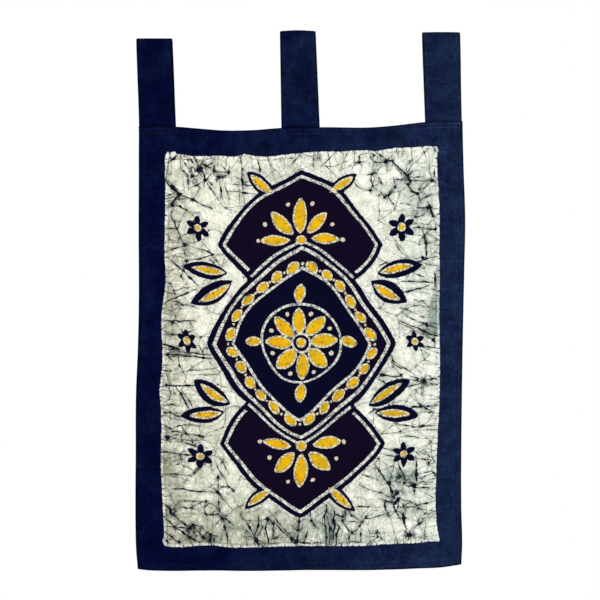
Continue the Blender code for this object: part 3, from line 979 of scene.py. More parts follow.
# %% A web of cracks from knot to knot
WEB_PITCH = 27.0
WEB_JITTER = 12.0
WEB_LINKS = 3
KNOT_LINKS = 3
KNOT_LINK_LIMIT = 34.0
WEB_LINK_LIMIT = 50.0
LINK_BOW = 2.0
EDGE_DRIFT = 7.0
STRONG_WIDTHS = {"link": 0.8, "to_edge": 0.7}
WEAK_WIDTHS = {"link": 0.6, "to_edge": 0.5}
LINK_SHARE = (0.5, 1.0)
links = []
web_x, web_z = np.meshgrid(
    np.arange(FIELD_BOX["left"] + 10, FIELD_BOX["right"], WEB_PITCH),
    np.arange(FIELD_BOX["low"] + 10, FIELD_BOX["high"], WEB_PITCH),
)
web_knots = np.stack([web_x.ravel(), web_z.ravel()], axis=-1)
web_knots = web_knots + chance.uniform(-WEB_JITTER, WEB_JITTER, web_knots.shape)
all_knots = [row[:2] for row in KNOTS] + [tuple(place) for place in web_knots.tolist()]
joined = set()
for k, place in enumerate(all_knots):
    strong = k < len(KNOTS)
    others = sorted(range(len(all_knots)), key=lambda j: math.dist(all_knots[j], place))
    for j in others[1:1 + (KNOT_LINKS if strong else WEB_LINKS)]:
        pair = (min(j, k), max(j, k))
        limit = KNOT_LINK_LIMIT if strong else WEB_LINK_LIMIT
        if pair not in joined and math.dist(all_knots[j], place) < limit:
            joined.add(pair)
            widest = (STRONG_WIDTHS if max(pair) < len(KNOTS) else WEAK_WIDTHS)["link"]
            bow = chance.normal(0, LINK_BOW)
            links.append(crack(place, all_knots[j], bow, widest * chance.uniform(*LINK_SHARE)))
    edge_x = FIELD_BOX["left"] if place[0] < 0 else FIELD_BOX["right"]
    if abs(edge_x - place[0]) < WEB_PITCH:
        widest = (STRONG_WIDTHS if strong else WEAK_WIDTHS)["to_edge"]
        goal = (edge_x, place[1] + chance.normal(0, EDGE_DRIFT))
        bow = chance.normal(0, LINK_BOW)
        links.append(crack(place, goal, bow, widest * chance.uniform(*LINK_SHARE)))
print(len(links), "cracks join knots")


# %% Layers of cracks that keep clear of each other
CRACK_CLEARANCE = 9.5
MOST_LAYERS = 16
CRACK_REACH = 12.0
HIDDEN_DEPTH = 6.0


def shows(one):
    """Whether any of a crack lies outside the dark ground or just inside its edge."""
    x, z = np.abs(one[0][:, 0] - DESIGN_CENTRE[0]), np.abs(one[0][:, 1] - DESIGN_CENTRE[1])
    return (union(lozenge(x, z, **MIDDLE), lozenge(x, z - END_HEIGHT, **END)) > -HIDDEN_DEPTH).any()


def keeps_clear(one, layer):
    """Whether a crack keeps its distance from all those of a layer."""
    taken = np.concatenate([points for points, _ in layer])
    gap = np.hypot(one[0][:, None, 0] - taken[:, 0], one[0][:, None, 1] - taken[:, 1])
    return gap.min() > CRACK_CLEARANCE


layers = []
left_out = 0
seen = [one for one in hand_cracks + links + rays + edge_cracks if shows(one)]
for one in sorted(seen, key=lambda one: -one[1].max()):
    layer = next((layer for layer in layers if keeps_clear(one, layer)), None)
    if layer is not None:
        layer.append(one)
    elif len(layers) < MOST_LAYERS:
        layers.append([one])
    else:
        left_out += 1
print("cracks in each layer:", [len(layer) for layer in layers], "and left out:", left_out)


# %% Distances to the cracks
def crack_distances(cracks):
    """Signed distance, distance and half width of the nearest crack at each point of the cloth.

    For each crack only the points in its box are looked at. The nearest place on each straight step
    is the start plus t times the run, with t held between 0 and 1, and the sign is the side of it.
    """
    signed = np.full(SIDE.shape, FAR)
    width = np.zeros(SIDE.shape)
    for points, widths in cracks:
        low, high = points.min(axis=0) - CRACK_REACH, points.max(axis=0) + CRACK_REACH
        near = (SIDE > low[0]) & (SIDE < high[0]) & (HEIGHT > low[1]) & (HEIGHT < high[1])
        spot = np.stack([SIDE[near], HEIGHT[near]], axis=-1)[:, None, :] - points[:-1]
        run = np.diff(points, axis=0)
        t = np.clip((spot * run).sum(-1) / (run * run).sum(-1), 0, 1)
        away = spot - t[..., None] * run
        distance = np.hypot(away[..., 0], away[..., 1])
        step = distance.argmin(axis=1)
        pick = (np.arange(len(step)), step)
        turn = np.sign(run[step, 0] * away[pick][:, 1] - run[step, 1] * away[pick][:, 0])
        new_signed = distance[pick] * np.where(turn == 0, 1, turn)
        new_width = widths[step] + (widths[step + 1] - widths[step]) * t[pick]
        closer = np.abs(new_signed) < np.abs(signed[near])
        signed[near] = np.where(closer, new_signed, signed[near])
        width[near] = np.where(closer, new_width, width[near])
    return np.stack([signed, np.abs(signed), width], axis=-1)


CRACK_LAYERS = {"cracks_" + str(k): crack_distances(layer) for k, layer in enumerate(layers)}
print(len(CRACK_LAYERS), "layers of crack distances")

# %% Dye beside the cracks and round the knots
BLEED_REACH = (1.3, 1.6)
FULL_BLEED = 0.9
SMUDGE_REACH = 2.6
BLEED = np.maximum.reduce([
    bell(layer[..., 1] / (BLEED_REACH[0] + BLEED_REACH[1] * layer[..., 2]))
    * np.clip(layer[..., 2] / FULL_BLEED, 0, 1)
    for layer in CRACK_LAYERS.values()
])
to_knots = [(np.hypot(SIDE - x, HEIGHT - z), radius) for x, z, radius, _ in KNOTS]
BLOTS = np.maximum.reduce([bell(distance / radius) for distance, radius in to_knots])
SMUDGES = sum(bell(distance / (SMUDGE_REACH * radius)) for distance, radius in to_knots)
CRUSHED = sum(bell(np.hypot(SIDE - x, HEIGHT - z) / reach) for x, z, reach in CRUSHED_PLACES)
print("share of the cloth beside a crack:", round(float((BLEED > 0.5).mean()), 2))


# %% Keep them on the cloth's points
def keep(piece, name, values):
    """Stores an array on the mesh's points, as single numbers or as triples."""
    triple = values.ndim == 3
    store = piece.data.attributes.new(name, "FLOAT_VECTOR" if triple else "FLOAT", "POINT")
    store.data.foreach_set("vector" if triple else "value", values.astype(np.float32).ravel())


# The seams' painted shade and highlight go on the points with the rest.
for name, values in {
    "field_edge": FIELD_EDGE, "side_share": SIDE_SHARE, "navy_edge": NAVY_EDGE, "plum_edge": PLUM_EDGE,
    "gold_edge": GOLD_EDGE, "dot_edge": DOT_EDGE, "wax_lines": WAX_LINES, "blots": BLOTS,
    "smudges": SMUDGES, "stain": STAIN, "painted_seam_light": painted_seam_light(ACROSS, UP),
    "outer_wax_lines": OUTER_WAX_LINES, "bleed": BLEED, "crushed": CRUSHED, **CRACK_LAYERS,
}.items():
    keep(panel, name, values)
print("attributes on the cloth:", len(panel.data.attributes))

# %% [markdown]
# ## Tabs
#
# Each tab is a strip that was sewn into a tube, turned, pressed flat and folded over the rod line. So it
# is a flat tube carried along a hairpin path: a slim closed profile at every step of the path. Its
# path and its outline are those of the solid. Both ends lie behind the hem, where they are sewn.

# %% The path of a tab
SOLID_HEM = 2.6
SOLID_TAB = 1.6
LOOP_RADIUS = 7.0
SEAM_GAP = 0.4
SEAM_OVERLAP = 11.0
TABS = {
    "name": ("tab_left", "tab_centre", "tab_right"),
    "top": (7.0, 19.6, 16.8),
    "bow": (0.3, 1.8, 0.6),
    "slack": (0.9, -1.1, 0.8),
    "top_from": (-252.4, -30.4, 190.2),
    "top_to": (-197.4, 25.0, 248.2),
    "foot_from": (-248.9, -28.2, 194.8),
    "foot_to": (-191.6, 31.6, 251.9),
}


def tab_path(along, tab, foot, edge, top):
    """Depth and height along a tab: up its front, round the rod's loop and down its back.

    along runs from 0 to 5: a seam, the front side, the loop, the back side and the other seam take
    1 each. A side is a cosine ease from the seam's depth to the loop's, and the loop is a half circle.
    """
    radius = LOOP_RADIUS + SOLID_TAB / 2
    centre = top - SOLID_TAB - LOOP_RADIUS
    front = along < 2.5
    climb = np.where(front, along, 5 - along)
    seam_height = edge - SEAM_OVERLAP * (1 - np.clip(climb, 0, 1))
    seam = relief(foot, seam_height) + SOLID_HEM + SEAM_GAP + SOLID_TAB / 2
    seam = np.where(front, seam, seam + SOLID_TAB + SEAM_GAP)
    rise = np.clip(climb - 1, 0, 1)
    spread = (1 - np.cos(math.pi * rise)) / 2
    depth = seam + (np.where(front, -radius, radius) - seam) * spread
    depth = depth + tab["slack"] * np.sin(math.pi * rise) ** 2
    height = seam_height + (centre - edge) * rise
    turn = math.pi * (along - 2)
    loop = (along > 2) & (along < 3)
    depth = np.where(loop, -radius * np.cos(turn), depth)
    height = np.where(loop, centre + radius * np.sin(turn), height)
    return depth, height


print("a loop is", 2 * LOOP_RADIUS, "mm wide inside")


# %% The tube that follows it
TAB_THICKNESS = 1.3
TAB_EDGE_LINES = (0.03, 0.2, 0.6, 1.3, 2.6, 4.6)
TAB_MIDDLE_CELLS = 14
TAB_ROWS = (4, 40, 16, 40, 4)
PATH_STEP = 0.004
ALLOWANCE = {"rise": 0.18, "inset": 4.0, "width": 2.5}
TAB_WRINKLE = 0.35
# Painted shade along a tab's folded edges with a faint painted highlight beside it, and a painted shadow
# where the cloth's top edge crosses the tab, with a paler band just above.
TAB_EDGE_BANDS = {"at": (0.0, 4.5), "width": (1.9, 1.8), "shade": (-1.8, 0.5)}
TAB_FOOT_BANDS = {"at": (1.0, 1.05), "width": (0.018, 0.03), "shade": (-1.0, 0.5)}


def tab_surface(tab):
    """Points of a tab, as rows along its path by columns round its profile, their flat places, its
    width and its painted shade and highlight.

    The profile's half thickness at a distance d from its edge is that of a round edge, the root of
    1 - (1 - d/r) squared, and a little more where the seam allowance lies inside. The offset goes
    along the path's own normal, the path's step turned by a quarter.
    """
    wide = abs(tab["top_to"] - tab["top_from"])
    lines = np.array(TAB_EDGE_LINES) / wide
    even = np.linspace(lines[-1], 1 - lines[-1], TAB_MIDDLE_CELLS + 1)[1:-1]
    w = np.concatenate([lines, even, 1 - lines[::-1]])
    inset = np.minimum(w, 1 - w) * wide
    radius = TAB_THICKNESS / 2
    half = radius * np.sqrt(1 - (1 - np.minimum(inset / radius, 1)) ** 2)
    half = half + ALLOWANCE["rise"] * bell((inset - ALLOWANCE["inset"]) / ALLOWANCE["width"])
    across = np.concatenate([w, w[::-1]])
    offset = np.concatenate([half, -half[::-1]])
    parts = [start + np.arange(rows) / rows for start, rows in enumerate(TAB_ROWS)]
    along = np.concatenate(parts + [[len(TAB_ROWS)]])
    w_grid, along_grid = np.meshgrid(across, along)

    def centre_line(where):
        """The middle of the folded strip, as in the solid, and how far up the tab each place is."""
        foot = between((tab["foot_from"], tab["foot_to"]), w_grid)
        head = between((tab["top_from"], tab["top_to"]), w_grid)
        edge = top_of(foot)
        top = tab["top"] - tab["bow"] * (2 * w_grid - 1) ** 2
        depth, height = tab_path(where, tab, foot, edge, top)
        rise = np.clip((height - edge) / (top - edge), 0, 1)
        return np.stack([foot + (head - foot) * rise, depth, height], axis=-1), rise

    points, rise = centre_line(along_grid)
    ahead, _ = centre_line(np.clip(along_grid + PATH_STEP, 0, 5))
    astern, _ = centre_line(np.clip(along_grid - PATH_STEP, 0, 5))
    step = (ahead - astern)[..., 1:]
    step = step / np.linalg.norm(step, axis=-1, keepdims=True)
    side, height = points[..., 0], points[..., 2]
    wrinkle = np.sin(height / 9 + side / 23) + 0.7 * np.sin(height / 15 - side / 11 + 2)
    wrinkle = TAB_WRINKLE * wrinkle * np.sin(math.pi * np.clip(rise * 1.1, 0, 1)) ** 2
    points[..., 1] -= step[..., 1] * offset + wrinkle
    points[..., 2] += step[..., 0] * offset
    run = np.linalg.norm(np.diff(points, axis=0), axis=-1).mean(axis=1)
    flat_y = np.concatenate([[0], np.cumsum(run)])
    flat_x = across * wide + np.where(offset < 0, 2 * wide * (1 - across), 0)
    edge_shade = bands(inset, TAB_EDGE_BANDS)
    shade = np.tile(np.concatenate([edge_shade, edge_shade[::-1]]), (len(along), 1))
    shade = shade + bands(np.minimum(along_grid, 5 - along_grid), TAB_FOOT_BANDS)
    return points, *np.meshgrid(flat_x, flat_y), wide, shade


def end_caps(rows, columns):
    """Faces that close both ends of a flat tube, from each point of one side to that opposite."""
    k = np.arange(columns // 2 - 1)
    foot = np.stack([k, columns - 1 - k, columns - 2 - k, k + 1], -1)
    return np.concatenate([foot, foot[:, ::-1] + (rows - 1) * columns])


navy_cotton = bpy.data.materials.new("dyed_cotton")
for tab in rows_of(TABS):
    points, flat_x, flat_y, wide, shade = tab_surface(tab)
    faces = np.concatenate([grid_faces(*points.shape[:2], closed=True), end_caps(*points.shape[:2])])
    piece = make_piece(tab["name"] + "_cloth", points, faces, navy_cotton)
    lay_flat(piece, flat_x, flat_y)
    # The tab's painted shade and highlight, kept on its points.
    keep(piece, "painted_seam_light", shade)
    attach(piece, "root")
    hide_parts(tab["name"])
    print(tab["name"], "is", round(wide), "by", round(float(flat_y.max())), "mm when laid flat")

# %% [markdown]
# ## Stitches
#
# The hem is held by a machine's lock stitch, and each tab by two rows through all its layers, of which
# the lower one is made here as stitches. A stitch is a small spindle of thread, half sunk in its dip.
# The hem's stitches share one mesh and the tabs' another, each worked out at once, and each stitch has
# only 24 triangles, because there are many.

# %% Rows of stitches
STITCH_PITCH = 3.1
STITCH_LENGTH = 2.5
THREAD_RADIUS = 0.28
STITCH_BEHIND = -0.05
TAB_ROW_INSET = 3.0
SPINDLE = ((-0.5, 0.0), (-0.3, 0.8), (0.0, 1.0), (0.3, 0.8), (0.5, 0.0))


def seam_row(start, end):
    """Middles of the stitches along a straight run on the cloth, and the run's direction."""
    start, end = np.array(start, float), np.array(end, float)
    length = np.hypot(*(end - start))
    count = int(length / STITCH_PITCH)
    t = (np.arange(count) + 0.5) / count
    heading = (end - start) / length
    return start + (end - start) * t[:, None], np.tile(heading, (count, 1))


def stitches(rows, behind):
    """Points and faces of all stitches: a spindle of 3 rings of 4 points and 2 tips each.

    A ring lies across the run at its share of the stitch's length, with one point of it each to the
    left, front, right and back.
    """
    middles = np.concatenate([row[0] for row in rows])
    headings = np.concatenate([row[1] for row in rows])
    shares = np.array([share for share, _ in SPINDLE])
    places = middles[:, None, :] + headings[:, None, :] * (shares * STITCH_LENGTH)[None, :, None]
    spine = cloth_surface(places[..., 0], places[..., 1], behind)
    axis = spine[:, -1] - spine[:, 0]
    axis = axis / np.linalg.norm(axis, axis=-1, keepdims=True)
    out = np.array([0.0, -1.0, 0.0]) - axis * (axis @ np.array([0.0, -1.0, 0.0]))[:, None]
    left = np.cross(axis, out)
    rings = []
    for k, (_, size) in list(enumerate(SPINDLE))[1:-1]:
        for quarter in range(4):
            a = math.pi / 2 * quarter
            reach = (left * math.cos(a) + out * math.sin(a)) * THREAD_RADIUS * size
            rings.append(spine[:, k] + reach)
    points = np.stack([spine[:, 0], *rings, spine[:, -1]], axis=1)
    q = np.arange(4)
    n = (q + 1) % 4
    start_fan = np.stack([q * 0, 1 + n, 1 + q, 1 + q], -1)
    walls = [np.stack([base + q, base + n, base + 4 + n, base + 4 + q], -1) for base in (1, 5)]
    end_fan = np.stack([q * 0 + 13, 9 + q, 9 + n, 9 + n], -1)
    quads = np.concatenate(walls)
    fans = np.concatenate([start_fan, end_fan])[:, :3]
    first = (np.arange(len(points)) * points.shape[1])[:, None, None]
    return points, (quads + first).reshape(-1, 4), (fans + first).reshape(-1, 3)


def make_stitches(name, rows, behind, material):
    """One piece with every stitch of some rows."""
    points, quads, fans = stitches(rows, behind)
    mesh = bpy.data.meshes.new(name)
    mesh.from_pydata((points.reshape(-1, 3) * MM).tolist(), [], quads.tolist() + fans.tolist())
    mesh.shade_smooth()
    mesh.materials.append(material)
    piece = bpy.data.objects.new(name, mesh)
    bpy.context.scene.collection.objects.link(piece)
    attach(piece, "root")
    print(name, "has", len(points), "stitches")


low, high = SIDE_SEAM, PANEL_HEIGHT - TOP_SEAM
left, right = SIDE_SEAM, PANEL_WIDTH - SIDE_SEAM
hem_rows = [
    seam_row((left, low), (right, low)),
    seam_row((right, low), (right, high)),
    seam_row((right, high), (left, high)),
    seam_row((left, high), (left, low)),
]
tab_rows = []
for tab in rows_of(TABS):
    begin = max(tab["foot_from"] - TOP_EDGE["side"][0] + TAB_ROW_INSET, TAB_ROW_INSET)
    finish = min(tab["foot_to"] - TOP_EDGE["side"][0], PANEL_WIDTH) - TAB_ROW_INSET
    row_height = PANEL_HEIGHT - TAB_SEAMS[1]
    tab_rows.append(seam_row((finish, row_height), (begin, row_height)))
thread = bpy.data.materials.new("cotton_thread")
make_stitches("hem_stitches", hem_rows, STITCH_BEHIND, thread)
make_stitches("tab_stitches", tab_rows, STITCH_BEHIND, thread)

# %% [markdown]
# ## Colours and nodes
#
# Colours are written as a painter's hex values, which are what a screen shows, and one function turns
# them to the linear light that Blender mixes. One more adds a node with its settings and links. Most
# of the cloth's unevenness comes from noises, and a range node then turns a noise's values into a
# width, a share or a shade. Such a range is written as the noise's low and high value and, if they
# aren't 0 and 1, the two values that they stand for.


# %% Helpers for materials
def linear(hex_colour):
    """A screen colour as linear light: c / 12.92 below 0.04045, else ((c + 0.055) / 1.055) ^ 2.4."""
    screen = np.array([int(hex_colour[i:i + 2], 16) for i in (1, 3, 5)]) / 255
    light = np.where(screen <= 0.04045, screen / 12.92, ((screen + 0.055) / 1.055) ** 2.4)
    return (*light.tolist(), 1.0)


def output_of(node):
    """The first of a node's outputs that is in use."""
    return next(output for output in node.outputs if output.enabled)


def add(tree, kind, inputs=(), **settings):
    """Adds a node. Settings go on it. Inputs are a row, in the order of the sockets in use, or have
    their names. Each is a number, a colour, a socket, or another node for its first output."""
    node = tree.nodes.new("ShaderNode" + kind)
    for name, value in settings.items():
        setattr(node, name, value)
    used = [socket for socket in node.inputs if socket.enabled]
    for place, value in inputs.items() if isinstance(inputs, dict) else enumerate(inputs):
        socket = used[place] if isinstance(place, int) else next(s for s in used if s.name == place)
        if isinstance(value, bpy.types.Node):
            value = output_of(value)
        if isinstance(value, bpy.types.NodeSocket):
            tree.links.new(value, socket)
        else:
            socket.default_value = value
    return node


def empty_tree(material):
    """The material's node tree, and its Principled shader."""
    material.use_nodes = True
    return material.node_tree, material.node_tree.nodes["Principled BSDF"]


FADE_OUT = (1.0, 0.0)
print("navy in linear light:", [round(value, 4) for value in linear("#0b0e2e")])

# %% [markdown]
# ## Dyed cotton
#
# The border, the tabs and the backs are plain-weave cotton, dyed navy in the piece. Such dye is deep and
# matt. The colour is made a little bluer and lighter towards the right, and the threads differ, which
# gives short faint streaks both ways. Seams and folded edges carry painted shade and painted highlight.
# Real threads lie 0.4 mm apart, too fine for this view, so the weave is drawn three times as coarse.

# %% Numbers of the dyed finish. A noise has its size in millimetres, its detail and its roughness
NAVY_LEFT = "#03072a"
NAVY_RIGHT = "#16233f"
LIGHTER_REACH = 0.25
LIGHTER_CURVE = 1.5
NAVY_TINTS = {"colour": ("#12263c", "#12113a"), "low": (0.56, 0.46), "high": (0.76, 0.28)}
TINT_SHARE = 0.7
THREAD_PITCH = 1.2
WEAVE_HEIGHT = 0.03
STREAK = (1.5, 26.0)
STREAK_SHADE = (0.3, 0.7, 0.82, 1.18)
# How strongly the painted shade and highlight along seams show, and how dark the painted shade may go.
SEAM_CONTRAST = 0.4
DARKEST_SEAM = 0.12
DYE_NOISES = {
    "patches": (55, 5.0, 0.65),
    "hue": (42, 3.0, 0.5),
    "clouds": (22, 3.0, 0.6),
    "flecks": (4.2, 3.0, 0.6),
    # This noise makes the painted shade and highlight along the seams uneven.
    "uneven_seam_light": (9, 3.0, 0.5),
}
DYE_RANGES = {
    "patches": (0.3, 0.7, -0.3, 0.3),
    "clouds": (0.3, 0.7, 0.62, 1.38),
    "flecks": (0.3, 0.7, 0.66, 1.34),
    "uneven_seam_light": (0.3, 0.7, 0.4, 1.6),
}
print(len(DYE_NOISES), "noises in the dye")


# %% The dyed finish, shared by cloth and tabs
def dyed_cotton(tree):
    """Adds the dyed finish, and gives the places, its colour and its weave's height in millimetres.

    The weave is the sine of the flat place across times the sine of that along, one turn in two threads.
    """
    place = add(tree, "TexCoord").outputs["Object"]
    flat = add(tree, "UVMap", uv_map="cloth")
    noise = {
        name: add(
            tree, "TexNoise", {"Vector": place, "Scale": 1000 / size, "Detail": detail, "Roughness": rough}
        )
        for name, (size, detail, rough) in DYE_NOISES.items()
    }
    share = {name: add(tree, "MapRange", (noise[name], *span)) for name, span in DYE_RANGES.items()}
    side = add(tree, "SeparateXYZ", [place])
    across = add(tree, "MapRange", (side, -LIGHTER_REACH, LIGHTER_REACH))
    across = add(tree, "Math", (across, LIGHTER_CURVE), operation="POWER")
    across = add(tree, "Math", (across, share["patches"]), operation="ADD", use_clamp=True)
    colour = add(tree, "Mix", (across, linear(NAVY_LEFT), linear(NAVY_RIGHT)), data_type="RGBA")
    for tint in rows_of(NAVY_TINTS):
        much = add(tree, "MapRange", (noise["hue"], tint["low"], tint["high"], 0.0, TINT_SHARE))
        much = add(tree, "Math", (much, across), operation="MULTIPLY")
        colour = add(tree, "Mix", (much, colour, linear(tint["colour"])), data_type="RGBA")
    shades = []
    for wide, tall in (STREAK, STREAK[::-1]):
        stretched = add(tree, "Mapping", {"Vector": flat, "Scale": (1000 / wide, 1000 / tall, 1.0)})
        streaks = add(tree, "TexNoise", {"Vector": stretched, "Scale": 1.0, "Detail": 2.0})
        shades.append(add(tree, "MapRange", (streaks, *STREAK_SHADE)))
    # Painted shade and painted highlight along seams and folded edges, made uneven by a noise.
    seam = add(tree, "Attribute", attribute_name="painted_seam_light").outputs["Fac"]
    seam = add(tree, "Math", (seam, share["uneven_seam_light"]), operation="MULTIPLY")
    seam = add(tree, "Math", (seam, SEAM_CONTRAST, 1.0), operation="MULTIPLY_ADD")
    seam = add(tree, "Math", (seam, DARKEST_SEAM), operation="MAXIMUM")
    for shade in (*shades, share["clouds"], share["flecks"], seam):
        colour = add(tree, "VectorMath", (colour, shade), operation="SCALE")
    turn = math.pi / (THREAD_PITCH * MM)
    threads = add(tree, "VectorMath", (flat, (turn, turn, 0.0)), operation="MULTIPLY")
    threads = add(tree, "VectorMath", [threads], operation="SINE")
    apart = add(tree, "SeparateXYZ", [threads])
    weave = add(tree, "Math", (apart.outputs["X"], apart.outputs["Y"]), operation="MULTIPLY")
    weave = add(tree, "Math", (weave, WEAVE_HEIGHT), operation="MULTIPLY")
    return place, colour, weave


print("the weave repeats every", 2 * THREAD_PITCH, "mm")

# %% The tabs and the thread
CLOTH_ROUGHNESS = 0.9
CLOTH_SPECULAR = 0.02
WEAVE_BUMP = 0.8
TAB_SHADE = 0.9
THREAD_COLOURS = ("#070b26", "#141d42")
THREAD_ROUGHNESS = 0.7
THREAD_SPECULAR = 0.3
TWIST_SIZE = 1.5
TWIST_RANGE = (0.3, 0.7)


def finish_cloth(tree, shader, colour, height, strength):
    """Ends a cloth's material with its colour, a bump from a height in millimetres, and a matt surface."""
    bump = add(tree, "Bump", {"Strength": strength, "Distance": MM, "Height": height})
    tree.links.new(output_of(colour), shader.inputs["Base Color"])
    tree.links.new(output_of(bump), shader.inputs["Normal"])
    shader.inputs["Roughness"].default_value = CLOTH_ROUGHNESS
    shader.inputs["Specular IOR Level"].default_value = CLOTH_SPECULAR


tree, shader = empty_tree(navy_cotton)
_, colour, weave = dyed_cotton(tree)
colour = add(tree, "VectorMath", (colour, TAB_SHADE), operation="SCALE")
finish_cloth(tree, shader, colour, weave, WEAVE_BUMP)
print("dyed cotton has", len(tree.nodes), "nodes")

tree, shader = empty_tree(thread)
place = add(tree, "TexCoord").outputs["Object"]
twist = add(tree, "TexNoise", {"Vector": place, "Scale": 1000 / TWIST_SIZE})
shade = add(tree, "MapRange", (twist, *TWIST_RANGE))
colour = add(tree, "Mix", (shade, *map(linear, THREAD_COLOURS)), data_type="RGBA")
tree.links.new(output_of(colour), shader.inputs["Base Color"])
shader.inputs["Roughness"].default_value = THREAD_ROUGHNESS
shader.inputs["Specular IOR Level"].default_value = THREAD_SPECULAR

# %% [markdown]
# ## Waxed and dyed cotton
#
# Where the wax held, the cloth stayed cream, and a trace of wax still closes the weave. Dye that crept
# through cracks made navy-black lines, blots at the knots and a grey-green haze. Round every
# dark part the wax was thickest, so there the cloth is whitest and only fine ticks cross it.

# %% Noises of the waxed cloth: size in millimetres, detail and roughness
NOISES = {
    "wander": (11, 3.0, 0.5),
    "fray": (2.6, 1.0, 0.5),
    "mottle": (20, 6.0, 0.7),
    "haze": (55, 7.0, 0.68),
    "grain": (3.6, 2.0, 0.6),
    "breaks": (6.5, 2.0, 0.5),
    "widths": (9, 1.0, 0.5),
    "warp": (40, 2.0, 0.5),
    "patches": (38, 3.0, 0.6),
    "rims": (13, 2.0, 0.5),
    "gold": (15, 4.0, 0.65),
}
tree, shader = empty_tree(cotton)
place, border_colour, weave = dyed_cotton(tree)
noise = {
    name: add(
        tree, "TexNoise", {"Vector": place, "Scale": 1000 / size, "Detail": detail, "Roughness": rough}
    )
    for name, (size, detail, rough) in NOISES.items()
}
print(len(noise), "noises in the wax")

# %% What each range makes of its noise, and the attributes that hold distances and stains
RANGES = {
    "wander": ("wander", 0.0, 1.0, -1.5, 1.5),
    "fray": ("fray", 0.0, 1.0, -1.0, 1.0),
    "dull_cream": ("mottle", 0.36, 0.66),
    "haze": ("haze", 0.52, 0.78, 0.0, 0.3),
    "haze_depth": ("mottle", 0.34, 0.62, 0.25, 1.35),
    "haze_warmth": ("haze", 0.4, 0.6, -0.25, 0.25),
    "grain": ("grain", 0.3, 0.7, 0.8, 1.14),
    "bleed": ("mottle", 0.35, 0.65, 0.25, 0.75),
    "crack_whole": ("breaks", 0.36, 0.5, 0.3, 1.0),
    "crack_width": ("widths", 0.3, 0.7, 0.4, 1.7),
    "hair_whole": ("breaks", 0.38, 0.56, 0.15, 1.0),
    "net_width": ("breaks", 0.35, 0.65, 0.0, 0.24),
    "net_whole": ("breaks", 0.36, 0.55, 0.1, 0.85),
    "rim_whole": ("rims", 0.38, 0.6, 0.2, 1.0),
    "dull_gold": ("gold", 0.36, 0.62),
    "orange": ("haze", 0.52, 0.64, 0.0, 0.4),
    "brown_rim": ("rims", 0.42, 0.62, 0.0, 0.7),
    "specks": ("breaks", 0.57, 0.7, 0.0, 0.6),
}
EDGE_NAMES = ("field_edge", "navy_edge", "plum_edge", "gold_edge", "dot_edge")
share = {name: add(tree, "MapRange", (noise[source], *span)) for name, (source, *span) in RANGES.items()}
ragged = add(tree, "Math", (share["wander"], share["fray"]), operation="ADD")
read = {
    name: add(tree, "Attribute", attribute_name=name).outputs["Fac"]
    for name in (*EDGE_NAMES, "side_share", "blots", "smudges", "stain", "bleed", "crushed")
}
print(len(share), "ranges and", len(read), "attributes")

# %% The field's own colour
CREAMS = (("#fdfcec", "#fcfef3"), ("#c9c9b0", "#d2d9c5"))
HAZE_COLOURS = ("#96957a", "#8a9c90")
SMUDGE_COLOUR = "#62706a"
BLEED_COLOUR = "#5d6c70"
COOLER_REACH = 0.2
DEEPEST_HAZE = 0.85
SMUDGE_RANGE = (0.25, 0.9, 0.0, 0.45)
rightward = add(tree, "SeparateXYZ", [place])
rightward = add(tree, "MapRange", (rightward, -COOLER_REACH, COOLER_REACH))
creams = [add(tree, "Mix", (rightward, *map(linear, pair)), data_type="RGBA") for pair in CREAMS]
field_colour = add(tree, "Mix", (share["dull_cream"], *creams), data_type="RGBA")

haze = add(tree, "Math", (read["stain"], share["haze"]), operation="ADD")
haze = add(tree, "Math", (haze, share["haze_depth"]), operation="MULTIPLY")
haze = add(tree, "Math", (haze, DEEPEST_HAZE), operation="MINIMUM")
coolness = add(tree, "Math", (rightward, share["haze_warmth"]), operation="ADD", use_clamp=True)
haze_colour = add(tree, "Mix", (coolness, *map(linear, HAZE_COLOURS)), data_type="RGBA")
field_colour = add(tree, "Mix", (haze, field_colour, haze_colour), data_type="RGBA")
field_colour = add(tree, "VectorMath", (field_colour, share["grain"]), operation="SCALE")

smudge = add(tree, "Math", (read["smudges"], share["dull_cream"]), operation="MULTIPLY")
smudge = add(tree, "MapRange", (smudge, *SMUDGE_RANGE))
bleed = add(tree, "Math", (share["bleed"], read["bleed"]), operation="MULTIPLY")
for cover, colour in ((smudge, SMUDGE_COLOUR), (bleed, BLEED_COLOUR)):
    field_colour = add(tree, "Mix", (cover, field_colour, linear(colour)), data_type="RGBA")
print("waxed cotton so far:", len(tree.nodes), "nodes")

# %% The cracks: dark where the moved distance is less than the half width
CRACK_SOFT = 0.36
CRACK_MOVED = {"wander": 0.55, "fray": 0.45}
FALSE_LINE = (2.9, 3.4)
# Where the plain distance is past FALSE_LINE, the signed one only passes 0 between two far cracks.
dark = None
for name in CRACK_LAYERS:
    line = add(tree, "Attribute", attribute_name=name).outputs["Vector"]
    parts = add(tree, "SeparateXYZ", [line])
    off, half_width = parts.outputs["X"], parts.outputs["Z"]
    for source, much in CRACK_MOVED.items():
        off = add(tree, "Math", (share[source], much, off), operation="MULTIPLY_ADD")
    off = add(tree, "Math", [off], operation="ABSOLUTE")
    half = add(tree, "Math", (half_width, share["crack_width"]), operation="MULTIPLY")
    off = add(tree, "Math", (off, half), operation="SUBTRACT")
    drawn = add(
        tree, "MapRange", (off, -CRACK_SOFT, CRACK_SOFT, *FADE_OUT), interpolation_type="SMOOTHSTEP"
    )
    near = add(tree, "MapRange", (parts.outputs["Y"], *FALSE_LINE, *FADE_OUT))
    whole = add(tree, "Math", (share["crack_whole"], half_width), operation="MAXIMUM", use_clamp=True)
    for factor in (near, whole):
        drawn = add(tree, "Math", (drawn, factor), operation="MULTIPLY")
    dark = drawn if dark is None else add(tree, "Math", (dark, drawn), operation="MAXIMUM")
print("waxed cotton so far:", len(tree.nodes), "nodes")

